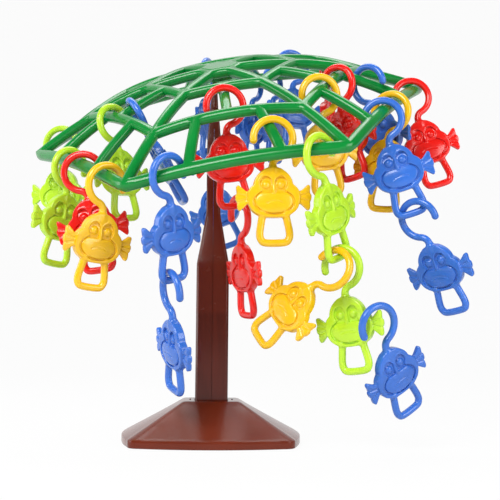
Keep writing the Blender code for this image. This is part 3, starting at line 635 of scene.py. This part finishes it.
def lattice_plan():
    """The bars in plan, facing up, and the row that each vertex off a centre line is in.
    Round each opening, rows step in from the bars' centre lines by a quarter round."""
    lattice = Lattice()
    hub = []
    for side in range(6):
        openings_of_sixth(lattice, side)
        lattice.rim(side)
        hub += lattice.between(ring_corner(HUB_REACH, side), ring_corner(HUB_REACH, side + 1))
    lattice.shape.faces.new(hub)
    return lattice.shape, lattice.levels


def lattice_skin():
    """The plan lifted on to the dome as the bars' upper skin, once more and turned over as
    the lower one, and a wall between their edges."""
    shape, levels = lattice_plan()
    flat = list(shape.verts)
    sheets = []
    made = bmesh.new()
    for side in (1, -1):
        lifted = {}
        for vertex in flat:
            x, y = vertex.co.x, vertex.co.y
            height = side * ROUND_HEIGHTS[levels[vertex]] if vertex in levels else side * BAR / 2
            lifted[vertex] = made.verts.new(on_dome(x, y) + dome_normal(x, y) * height)
        for face in shape.faces:
            made.faces.new([lifted[vertex] for vertex in face.verts][::side])
        sheets.append(lifted)
    upper, lower = sheets
    for edge in shape.edges:
        if len(edge.link_faces) == 1:
            first, last = (loop.vert for loop in (edge.link_loops[0], edge.link_loops[0].link_loop_next))
            made.faces.new((upper[last], upper[first], lower[first], lower[last]))
    shape.free()
    return mesh_from(made, "lattice")


def hub_tool(low, high):
    """A six-sided prism between two heights, centred on the hub, its edges rounded."""
    shape = bmesh.new()
    middle = Matrix.Translation((OFF_CENTRE, 0.0, (low + high) / 2))
    bmesh.ops.create_cone(shape, cap_ends=True, segments=6, radius1=HUB_REACH, radius2=HUB_REACH,
                          depth=high - low, matrix=middle @ Matrix.Rotation(math.radians(90), 4, "Z"))
    bmesh.ops.bevel(shape, geom=shape.edges[:], offset=HUB_ROUND, segments=ROUND_STEPS, profile=0.5,
                    affect="EDGES")
    return mesh_from(shape, "hub_tool")


def dish_tool(top):
    """The dish as a shallow bowl with a soft lip, and the gate mark left proud in its middle."""
    low, rim = top - DISH_DEPTH, DISH_REACH
    profile = [(0.0, low + 0.5 * MM), (0.9 * MM, low + 0.35 * MM), (1.3 * MM, low),
               (rim - 2.0 * MM, low + 0.1 * MM), (rim - 0.9 * MM, low + 0.7 * MM),
               (rim - 0.2 * MM, top - 0.8 * MM), (rim + 0.5 * MM, top - 0.15 * MM),
               (rim + 1.4 * MM, top + 0.2 * MM), (rim + 1.4 * MM, top + 3.0 * MM), (0.0, top + 3.0 * MM)]
    mesh = turned_mesh("dish", profile, 64)
    mesh.transform(Matrix.Translation((OFF_CENTRE, 0.0, 0.0)))
    return mesh


def recess_tool():
    """The room for the hub socket: a ball about the pivot's centre, cut out of the hub."""
    side = arc((0.0, 0.0), RECESS_REACH, 75, -75, 10)
    return turned_mesh("recess", [(0.0, RECESS_REACH), *side, (0.0, -RECESS_REACH)], TURNED_STEPS)


def make_canopy():
    top = ABOVE_PIVOT + BAR / 2
    hub = hub_tool(ABOVE_PIVOT - BAR / 2 - HUB_BELOW, top + HUB_PROUD)
    mesh = worked(lattice_skin(), "canopy_look", LEAF_PLASTIC, (hub, "UNION"),
                  (dish_tool(top), "DIFFERENCE"), (recess_tool(), "DIFFERENCE"))
    mesh.transform(canopy_place())
    smooth(mesh, degrees=42)
    show("canopy_look", mesh, LEAF_PLASTIC, "canopy", "green_plastic", "canopy")


make_canopy()


# The monkeys are 28 small mouldings of glossy plastic in four colours, all one shape: a
# hooked tail above the head, a rimmed face on both sides, two fan ears and a loop of legs.
# Each hangs by its hook from a bar, or from another monkey's loop or ear.
FAR, TINY = 1e9, 1e-9
NET_LOW, NET_HIGH = (-34.0, -8.0, -87.0), (31.5, 8.0, 20.5)
NET_STEP, NET_SPAN = 0.48, 0.05
KEPT_SHARE = 0.38
# Places are across and up from the hook's centre, in millimetres, and reaches half sizes.
HEAD_ACROSS = -1.3
ROD = 2.95
HOOK_REACH = 15.6
HOOK_TIP, HOOK_END = 185.0, -75.0
BEND_REACH = 7.0
STEM_FOOT = -28.0
HEAD_RIGHT = (
    (4.2, -23.6), (8.6, -25.8), (12.6, -29.6), (14.8, -33.6), (15.7, -36.8), (18.2, -39.2),
    (20.2, -42.4), (20.8, -46.6), (20.2, -51.6), (17.6, -57.0), (12.4, -60.9), (6.0, -62.8),
)
LOOP_RIGHT = ((8.6, -58.0), (10.4, -67.0), (11.7, -75.0), (11.0, -79.6), (7.2, -82.4))
EAR_RIGHT = (
    (15.0, -41.6), (20.6, -42.2), (24.6, -39.4), (27.4, -37.2), (29.2, -38.6),
    (28.9, -43.0), (29.9, -45.4), (29.8, -48.6), (28.8, -51.0), (28.6, -55.4),
    (26.8, -57.4), (23.6, -54.6), (20.4, -52.0), (15.0, -52.6),
)
EAR_GROOVES = (((21.4, -45.9), (30.2, -43.6)), ((21.4, -48.6), (30.0, -51.2)))
SOCKET_ACROSS, SOCKET_UP = 5.9, -36.6
MOUTH = ((-6.2, -52.0), (-4.6, -51.1), (-1.2, -50.5), (2.2, -50.4), (4.6, -50.9), (6.4, -51.8))
MOUTH_SPREAD, MOUTH_DEPTH = 0.5, 0.4
STEM_FLARE = 0.85
EAR_HALF, EAR_EDGE, GROOVE_SPREAD, GROOVE_DEPTH = 2.0, 0.9, 0.75, 0.6
PLATE_HALF, PLATE_EDGE = 3.7, 1.2
FACE_FLOOR, CHEEK_RISE, SOCKET_SINK = 2.0, 0.5, 0.9
SOCKET_REACH, CHEEK_REACH, CHEEK_UP = (5.1, 1.0, 6.2), (16.7, 1.0, 10.2), -50.7
BROW_REACH, BROW_DEPTH, BROW_ROUND = (5.9, 1.0, 7.0), 3.2, 0.75
EYE_REACH, EYE_DEPTH, EYE_DROP = (3.7, 3.3, 3.7), 1.2, 0.9
NOSE_RUN, NOSE_DEPTH, NOSE_ROUND, NOSE_FLARE = ((0.0, -31.0), (0.0, -43.4)), 2.6, 0.7, 1.1
DOME_UP, DOME_REACH = -51.6, (22.0, 4.9, 14.0)
MUZZLE_UP, MUZZLE_REACH, MUZZLE_TOP = -50.2, (14.9, 1.0, 9.3), -43.4
# The solid monkey's centre of volume from its hook's centre.
BALANCE = (-0.787, 0.0, -42.02)
# The turn, nod, tilt and facing half turn of each, in degrees, as it hangs in the solids.
# Where each hangs is read from the frame.
MONKEYS = (
    ("green_1", -15, 0, 0, 180), ("green_2", 44, 5, 7, 180), ("yellow_1", 34, 8, 6, 180),
    ("red_1", 0, 0, -10, 180), ("green_3", 43, -8, -3, 180), ("blue_1", -80, 30, 0, 0),
    ("blue_2", 44, 10, -13, 180), ("blue_3", -64, 10, 16, 180), ("blue_4", 70, 0, 0, 0),
    ("blue_5", -15, 0, -18, 0), ("red_2", 11, 4, -8, 0), ("red_3", -66, 8, 3, 0),
    ("yellow_2", 5, -2, -2, 0), ("green_4", 45, 3, -20, 180), ("green_5", -36, 6, -7, 0),
    ("yellow_3", -39, -15, 46, 0), ("blue_12", 29, 12, -33, 0), ("blue_6", -8, 2, -18, 0),
    ("blue_7", -40, 21, -12, 180), ("yellow_4", -33, 4, 6, 0), ("red_5", 3, -6, -17, 0),
    ("yellow_5", 14, 6, -9, 0), ("red_4", -41, 4, -11, 0), ("blue_8", -45, 11, -8, 180),
    ("red_6", 60, 0, 0, 0), ("blue_9", 25, -8, 0, 0), ("blue_10", 54, 0, 0, 0),
    ("blue_11", 55, 0, -4, 0),
)
# The slot and the plastic of each colour, measured from the photo's lit faces.
MONKEY_PLASTICS = {
    "green": ("lime_plastic", moulded("lime_look", (0.50, 0.80, 0.03), 0.26, 0.88, 0.8, 0.12)),
    "yellow": ("yellow_plastic", moulded("yellow_look", (0.88, 0.50, 0.006), 0.24, 0.90, 0.8, 0.10)),
    "red": ("red_plastic", moulded("red_look", (0.84, 0.008, 0.004), 0.24, 0.85, 0.9, 0.06)),
    "blue": ("blue_plastic", moulded("blue_look", (0.036, 0.155, 0.61), 0.25, 0.85, 0.9, 0.06)),
}


# The shape fields: each gives a distance in millimetres that is negative inside the plastic,
# over arrays of x (across) and z (up), with y as the depth.
def smooth_union(a, b, blend):
    """The lower of two fields, with a fillet: less a quarter of the blend times the square
    of how far, as a share of the blend, the two are from being a blend apart."""
    near = np.maximum(blend - np.abs(a - b), 0.0) / blend
    return np.minimum(a, b) - near * near * blend / 4


def smooth_cut(a, b, blend):
    """The first field with the second taken out of it, the edge rounded."""
    return -smooth_union(-a, b, blend)


def ease(value, low, high):
    """Zero below low, one above high, three squares less two cubes between."""
    share = np.clip((value - low) / (high - low), 0.0, 1.0)
    return share * share * (3 - 2 * share)


def to_segments(x, z, points):
    """Distance in the plane to a chain of straight runs: to the nearest point of each run,
    which is at the share of it that the place's shadow falls on, and the least of these."""
    best = np.full(np.broadcast(x, z).shape, FAR)
    for (ax, az), (bx, bz) in zip(points, points[1:]):
        dx, dz = bx - ax, bz - az
        share = np.clip(((x - ax) * dx + (z - az) * dz) / (dx * dx + dz * dz), 0.0, 1.0)
        best = np.minimum(best, np.hypot(x - ax - share * dx, z - az - share * dz))
    return best


def to_outline(x, z, points):
    """Signed distance in the plane to a closed outline: the distance to its sides, made
    negative where a ray to the right crosses it an odd number of times."""
    loop = list(points) + [points[0]]
    away = to_segments(x, z, loop)
    crossings = np.zeros(np.broadcast(x, z).shape, int)
    for (ax, az), (bx, bz) in zip(loop, loop[1:]):
        spans = (az > z) != (bz > z)
        reach = ax + (z - az) * (bx - ax) / (bz - az if bz != az else TINY)
        crossings += spans & (x < reach)
    return np.where(crossings % 2 == 1, -away, away)


def slab(flat, y, half, edge):
    """A plate of a half thickness over a flat field, its edges rounded: the length of what
    of the two distances is positive, plus the greater of them where both are negative."""
    aside, above = flat + edge, np.abs(y) - half + edge
    outside = np.hypot(np.maximum(aside, 0.0), np.maximum(above, 0.0))
    return outside + np.minimum(np.maximum(aside, above), 0.0) - edge


def ball(x, y, z, centre, radii):
    """Close to the distance to an ellipsoid: k0 (k0 - 1) / k1, where k0 is the length of
    the place over the radii and k1 its length over their squares."""
    px, py, pz = x - centre[0], y - centre[1], z - centre[2]
    k0 = np.sqrt((px / radii[0]) ** 2 + (py / radii[1]) ** 2 + (pz / radii[2]) ** 2)
    k1 = np.sqrt((px / radii[0] ** 2) ** 2 + (py / radii[1] ** 2) ** 2 + (pz / radii[2] ** 2) ** 2)
    return k0 * (k0 - 1.0) / np.maximum(k1, 1e-6)


def curve_through(points, steps, closed=False):
    """Catmull-Rom: between two points, half of (2b + (c - a)t + (2a - 5b + 4c - d)t^2 +
    (3b - a - 3c + d)t^3), for the points a, b, c and d on either side."""
    points = np.asarray(points, float)
    if closed:
        whole = np.vstack([points[-1:], points, points[:2]])
    else:
        whole = np.vstack([2 * points[:1] - points[1:2], points, 2 * points[-1:] - points[-2:-1]])
    t = np.arange(steps)[:, None] / steps
    made = [0.5 * (2 * b + (c - a) * t + (2 * a - 5 * b + 4 * c - d) * t * t
                   + (3 * b - a - 3 * c + d) * t ** 3)
            for a, b, c, d in zip(whole, whole[1:], whole[2:], whole[3:])]
    return np.vstack(made if closed else [*made, points[-1:]])


def mirrored(points):
    """The points with x negated, in the other order, so that an outline runs on."""
    return [(-x, z) for x, z in reversed(points)]


def tail_field(x, y, z):
    """The hook, a reverse bend and the stem, a round rod that flares into the head."""
    hook = arc((0.0, 0.0), HOOK_REACH, HOOK_TIP, HOOK_END, 52)
    turn = math.radians(HOOK_END)
    reach = HOOK_REACH + BEND_REACH
    bend = arc((reach * math.cos(turn), reach * math.sin(turn)), BEND_REACH, HOOK_END + 180, 180, 10)
    path = np.vstack([hook, bend[1:], [(bend[-1, 0], STEM_FOOT)]])
    away = to_segments(x, z, path)
    radius = ROD + STEM_FLARE * (1 - ease(z, -25.0, -20.0))
    return np.hypot(away, y) - radius


def legs_field(x, y, z):
    """Two legs that spread and meet in a rounded foot: a round rod along one smooth curve."""
    path = curve_through(list(LOOP_RIGHT) + mirrored(LOOP_RIGHT), 8)
    return np.hypot(to_segments(x - HEAD_ACROSS, z, path), y) - ROD


def ears_field(x, y, z):
    """A fan on each side with a notched outer edge, and two shallow grooves across it."""
    across = np.abs(x - HEAD_ACROSS)
    flat = to_outline(across, z, curve_through(EAR_RIGHT, 3, True))
    groove = sum(np.exp(-((to_segments(across, z, run) / GROOVE_SPREAD) ** 2)) for run in EAR_GROOVES)
    return slab(flat, y, EAR_HALF - GROOVE_DEPTH * groove, EAR_EDGE)


def muzzle_field(across, depth, z):
    """A broad low mound that fills the wide oval but for a narrow groove all round: a
    gentle dome cut to an oval with steep sides and a nearly straight top."""
    dome = ball(across, depth, z, (0.0, 0.0, DOME_UP), DOME_REACH)
    edge = np.maximum(ball(across, 0.0, z, (0.0, 0.0, MUZZLE_UP), MUZZLE_REACH), z - MUZZLE_TOP)
    return smooth_cut(dome, -edge, 1.1)


def mask_field(across, z):
    """The outline of the sunk face: two eye sockets, each an oval, and a wide oval below."""
    eye = ball(across, 0.0, z, (SOCKET_ACROSS, 0.0, SOCKET_UP), SOCKET_REACH)
    cheek = ball(across, 0.0, z, (0.0, 0.0, CHEEK_UP), CHEEK_REACH)
    return smooth_union(eye, cheek, 1.6)


def head_field(x, y, z):
    """The face plate, the sunk face, and in it the eyes, the nose and the muzzle, on both
    sides alike.  The nose is what is left of the plate between the sockets."""
    across, depth = np.abs(x - HEAD_ACROSS), np.abs(y)
    rim = curve_through(list(HEAD_RIGHT) + mirrored(HEAD_RIGHT), 4, True)
    head = slab(to_outline(x - HEAD_ACROSS, z, rim), y, PLATE_HALF, PLATE_EDGE)
    floor = FACE_FLOOR + CHEEK_RISE * ease(z, -44.0, -38.0) - SOCKET_SINK * ease(z, -38.0, -31.0)
    head = smooth_cut(head, np.maximum(mask_field(across, z) * 0.9, floor - depth), 0.45)
    ring = np.abs(ball(across, 0.0, z, (SOCKET_ACROSS, 0.0, SOCKET_UP), BROW_REACH))
    brow = np.maximum(np.hypot(ring, depth - BROW_DEPTH) - BROW_ROUND, SOCKET_UP + 1.0 - z)
    head = smooth_union(head, brow, 0.6)
    eye = ball(across, depth, z, (SOCKET_ACROSS, EYE_DEPTH, SOCKET_UP - EYE_DROP), EYE_REACH)
    head = smooth_union(head, eye, 0.3)
    bridge = to_segments(across, z, NOSE_RUN)
    nose = np.hypot(bridge, (depth - NOSE_DEPTH) * 0.8) - (NOSE_ROUND + NOSE_FLARE * ease(-z, 33.0, 43.0))
    head = smooth_union(head, nose, 0.7)
    head = smooth_union(head, muzzle_field(across, depth, z), 0.35)
    line = to_segments(x - HEAD_ACROSS, z, MOUTH)
    return head + MOUTH_DEPTH * np.exp(-((line / MOUTH_SPREAD) ** 2)) * ease(depth, 3.4, 4.4)


def monkey_field(x, y, z):
    """Every part of the moulding, run together with small fillets."""
    body = smooth_union(head_field(x, y, z), ears_field(x, y, z), 1.0)
    body = smooth_union(body, tail_field(x, y, z), 1.8)
    return smooth_union(body, legs_field(x, y, z), 1.8)


CUBE = [(i, j, k) for i in (0, 1) for j in (0, 1) for k in (0, 1)]
CUBE_EDGES = [(a, b) for a in CUBE for b in CUBE
              if sum(b) - sum(a) == 1 and all(p <= q for p, q in zip(a, b))]


def net_points(field, cells):
    """One point in each cell that the surface crosses: the mean of where it cuts the cell's
    edges, each cut at the share of the edge where the field falls to nothing."""
    total = np.zeros((len(cells), 3))
    cuts = np.zeros(len(cells))
    for start, end in CUBE_EDGES:
        first = field[tuple((cells + start).T)]
        last = field[tuple((cells + end).T)]
        crossed = (first < 0) != (last < 0)
        share = np.where(crossed, first / np.where(crossed, first - last, 1.0), 0.0)
        point = np.array(start) + share[:, None] * (np.array(end) - np.array(start))
        total += np.where(crossed[:, None], point, 0.0)
        cuts += crossed
    return cells + total / cuts[:, None]


def net_faces(inside, number):
    """A quad round every grid edge that the surface crosses, from the four cells there."""
    faces = []
    for axis in range(3):
        here = [slice(1, -1)] * 3
        ahead = [slice(1, -1)] * 3
        here[axis], ahead[axis] = slice(0, -1), slice(1, None)
        crossed = np.argwhere(inside[tuple(here)] != inside[tuple(ahead)])
        lift = np.ones(3, int)
        lift[axis] = 0
        corner = crossed + lift
        leaving = inside[tuple(corner.T)]
        u, v = np.eye(3, dtype=int)[(axis + 1) % 3], np.eye(3, dtype=int)[(axis + 2) % 3]
        around = [number[tuple((corner - step).T)] for step in (0 * u, u, u + v, v)]
        quads = np.stack(around, axis=1)
        quads[~leaving] = quads[~leaving][:, ::-1]
        faces.append(quads)
    return np.vstack(faces)


def surface_net(shape, low, high, step):
    """A closed mesh of where the field is nothing, on an even grid, each point then moved
    twice along the field's slope by what the field still is there."""
    axes = [np.arange(start, end + step, step) for start, end in zip(low, high)]
    x, y, z = axes[0][:, None, None], axes[1][None, :, None], axes[2][None, None, :]
    field = shape(x, y, z)
    inside = field < 0
    across, deep, tall = (size - 1 for size in inside.shape)
    counts = sum(inside[i:across + i, j:deep + j, k:tall + k].astype(int) for i, j, k in CUBE)
    active = (counts > 0) & (counts < 8)
    number = np.full(active.shape, -1)
    number[active] = np.arange(active.sum())
    points = np.array(low) + step * net_points(field, np.argwhere(active))
    for _ in range(2):
        here = shape(*points.T)
        shifts = np.eye(3) * NET_SPAN
        slope = np.stack([(shape(*(points + shift).T) - here) / NET_SPAN for shift in shifts], axis=1)
        steep = np.maximum((slope ** 2).sum(1, keepdims=True), 0.25)
        points -= np.clip(here[:, None] * slope / steep, -step / 3, step / 3)
    return points, net_faces(inside, number)


def monkey_template():
    """The monkey's surface in metres, thinned where it is flat, as a mesh and its points."""
    points, faces = surface_net(monkey_field, NET_LOW, NET_HIGH, NET_STEP)
    plastic = MONKEY_PLASTICS["green"][1]
    thing = new_object("template", mesh_of("template", points * MM, faces), plastic)
    thin = thing.modifiers.new("thin", "DECIMATE")
    thin.ratio = KEPT_SHARE
    mesh = baked(thing, "template")
    co = np.empty(len(mesh.vertices) * 3)
    mesh.vertices.foreach_get("co", co)
    return mesh, co.reshape(-1, 3)


def attitude(turn, nod, tilt, facing):
    """Facing half turn, then tilt about Y, nod about X and turn about Z."""
    turns = ((turn, "Z"), (nod, "X"), (tilt, "Y"), (facing, "Z"))
    whole = Matrix.Identity(3)
    for degrees, axis in turns:
        whole = whole @ Matrix.Rotation(math.radians(degrees), 3, axis)
    return np.array(whole)


def centre_of_volume(mesh):
    """The mean of the tetrahedra from the origin to each triangle, weighed by the sixth of
    a . (b x c) that each holds."""
    mesh.calc_loop_triangles()
    points = np.empty(len(mesh.vertices) * 3)
    mesh.vertices.foreach_get("co", points)
    corners = np.empty(len(mesh.loop_triangles) * 3, int)
    mesh.loop_triangles.foreach_get("vertices", corners)
    a, b, c = points.reshape(-1, 3)[corners.reshape(-1, 3)].transpose(1, 0, 2)
    held = (a * np.cross(b, c)).sum(1) / 6
    return (held[:, None] * (a + b + c) / 4).sum(0) / held.sum()


def hang_monkeys():
    """The one shape, turned and moved for each monkey: its hook's centre is the centre of
    its solid in the frame, less the turned way from the hook to that centre."""
    template, co = monkey_template()
    for name, *turns in MONKEYS:
        node = "monkey_" + name
        slot, plastic = MONKEY_PLASTICS[name.split("_")[0]]
        mesh = template.copy()
        mesh.name = node + "_look"
        whole = attitude(*turns)
        hook = centre_of_volume(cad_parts[node].data) - whole @ np.array(BALANCE) * MM
        mesh.vertices.foreach_set("co", (co @ whole.T + hook).ravel())
        mesh.update()
        smooth(mesh, degrees=60)
        show(node + "_look", mesh, plastic, node, slot, node)


hang_monkeys()


# The floor is a plain white sheet that curves up into a wall far behind the object.  The
# camera sees it as plain white, and the plastic reflects it.
FLOOR_ROUND, FLOOR_NEAR, FLOOR_BACK, FLOOR_HALF = 1.2, -3.0, 2.2, 4.0
WALL_TOP, FLOOR_SINK = 4.0, 0.0002
PALE, PALE_SPOT = (0.86, 0.86, 0.86, 1.0), (0.82, 0.82, 0.82, 1.0)
FLOOR_GRAIN, FLOOR_GLOW = 9.0, 0.94


def lit_floor():
    """White to the camera and in reflections whatever falls on it, apart from the faint
    shade under the base, and plain pale paint to the soft light that lands on it."""
    paint = Paint("white_floor")
    kinds = ("Is Camera Ray", "Is Glossy Ray", "Is Transmission Ray")
    camera, glossy, clear = (paint.node("ShaderNodeLightPath", {}, {}, kind) for kind in kinds)
    spots = paint.mix(paint.noise(FLOOR_GRAIN) * 0.1, PALE, PALE_SPOT)
    paint.fill(paint.shader, {"Base Color": spots, "Roughness": 0.6})
    glow = paint.node("ShaderNodeEmission", {}, {"Strength": 1.0})
    share = (camera + glossy + clear) * FLOOR_GLOW
    plain = Value(paint, paint.shader.outputs[0])
    mixed = paint.node("ShaderNodeMixShader", {}, {0: share, 1: plain, 2: glow})
    paint.fill(paint.tree.nodes["Material Output"], {0: mixed})
    return paint.material


def make_floor():
    """A level floor and an upright wall, and a quarter circle between them."""
    turns = np.linspace(0, math.pi / 2, 16)[1:]
    profile = [(FLOOR_NEAR, 0.0), (FLOOR_BACK - FLOOR_ROUND, 0.0)]
    profile += [(FLOOR_BACK - FLOOR_ROUND + FLOOR_ROUND * math.sin(turn),
                 FLOOR_ROUND - FLOOR_ROUND * math.cos(turn)) for turn in turns]
    profile.append((FLOOR_BACK, WALL_TOP))
    points = [(x, y, z) for y, z in profile for x in (-FLOOR_HALF, FLOOR_HALF)]
    faces = [(2 * row, 2 * row + 1, 2 * row + 3, 2 * row + 2) for row in range(len(profile) - 1)]
    mesh = mesh_of("floor", np.array(points) - np.array((0.0, 0.0, FLOOR_SINK)), faces)
    floor = new_object("floor", smooth(mesh, degrees=60), lit_floor())


make_floor()


# The light is a broad soft lamp above and in front, weaker ones from each side and from
# above and behind, and a faint even sky.
SKY_STRENGTH = 0.10
# A lamp is its name, its place, where it points, its width and height in metres, and watts.
LAMPS = (
    ("key_light", (-0.55, -1.3, 1.15), (0.0, 0.0, 0.22), (0.9, 0.7), 26.0),
    ("fill_light", (1.2, -1.0, 0.55), (0.0, 0.0, 0.2), (0.8, 0.9), 12.0),
    ("top_light", (0.0, 0.45, 1.5), (0.0, 0.0, 0.3), (1.2, 0.5), 9.0),
    ("left_light", (-1.3, -0.1, 0.45), (0.0, 0.0, 0.2), (0.6, 0.9), 7.0),
)


def soft_light(name, place, aim, size, watts):
    data = bpy.data.lights.new(name, "AREA")
    data.shape = "RECTANGLE"
    data.size, data.size_y = size
    data.energy = watts
    lamp = bpy.data.objects.new(name, data)
    lamp.location = place
    lamp.rotation_euler = (Vector(aim) - Vector(place)).to_track_quat("-Z", "Y").to_euler()
    bpy.context.scene.collection.objects.link(lamp)


def make_sky():
    world = bpy.data.worlds.new("sky")
    world.use_nodes = True
    sky = world.node_tree.nodes["Background"]
    sky.inputs["Color"].default_value = (1.0, 1.0, 1.0, 1.0)
    sky.inputs["Strength"].default_value = SKY_STRENGTH
    bpy.context.scene.world = world


for lamp_values in LAMPS:
    soft_light(*lamp_values)
make_sky()


# The camera stands low in front, where the photo was taken from, and looks a little up and
# to the right.
CAMERA_PLACE = (0.0, -0.890, 0.1003)
CAMERA_PAN, CAMERA_RISE, CAMERA_ROLL = 2.13, -4.31, -0.5
SENSOR = 36.0
FOCAL_SHARE = 1001 / 500


def make_camera():
    """The photo's viewpoint: low in front, looking a little up and to the right."""
    pan, rise, roll = (math.radians(turn) for turn in (CAMERA_PAN, CAMERA_RISE, CAMERA_ROLL))
    ahead = Vector((math.sin(pan) * math.cos(rise), math.cos(pan) * math.cos(rise), -math.sin(rise)))
    level = Vector((math.cos(pan), -math.sin(pan), 0.0))
    upright = level.cross(ahead)
    right = level * math.cos(roll) - upright * math.sin(roll)
    up = level * math.sin(roll) + upright * math.cos(roll)
    data = bpy.data.cameras.new("camera")
    data.sensor_width = SENSOR
    data.lens = SENSOR * FOCAL_SHARE
    camera = bpy.data.objects.new("camera", data)
    x, y, z = CAMERA_PLACE
    camera.matrix_world = Matrix(((right.x, up.x, -ahead.x, x), (right.y, up.y, -ahead.y, y),
                                  (right.z, up.z, -ahead.z, z), (0.0, 0.0, 0.0, 1.0)))
    bpy.context.scene.collection.objects.link(camera)
    bpy.context.scene.camera = camera


make_camera()
bpy.context.scene.view_settings.view_transform = "Standard"
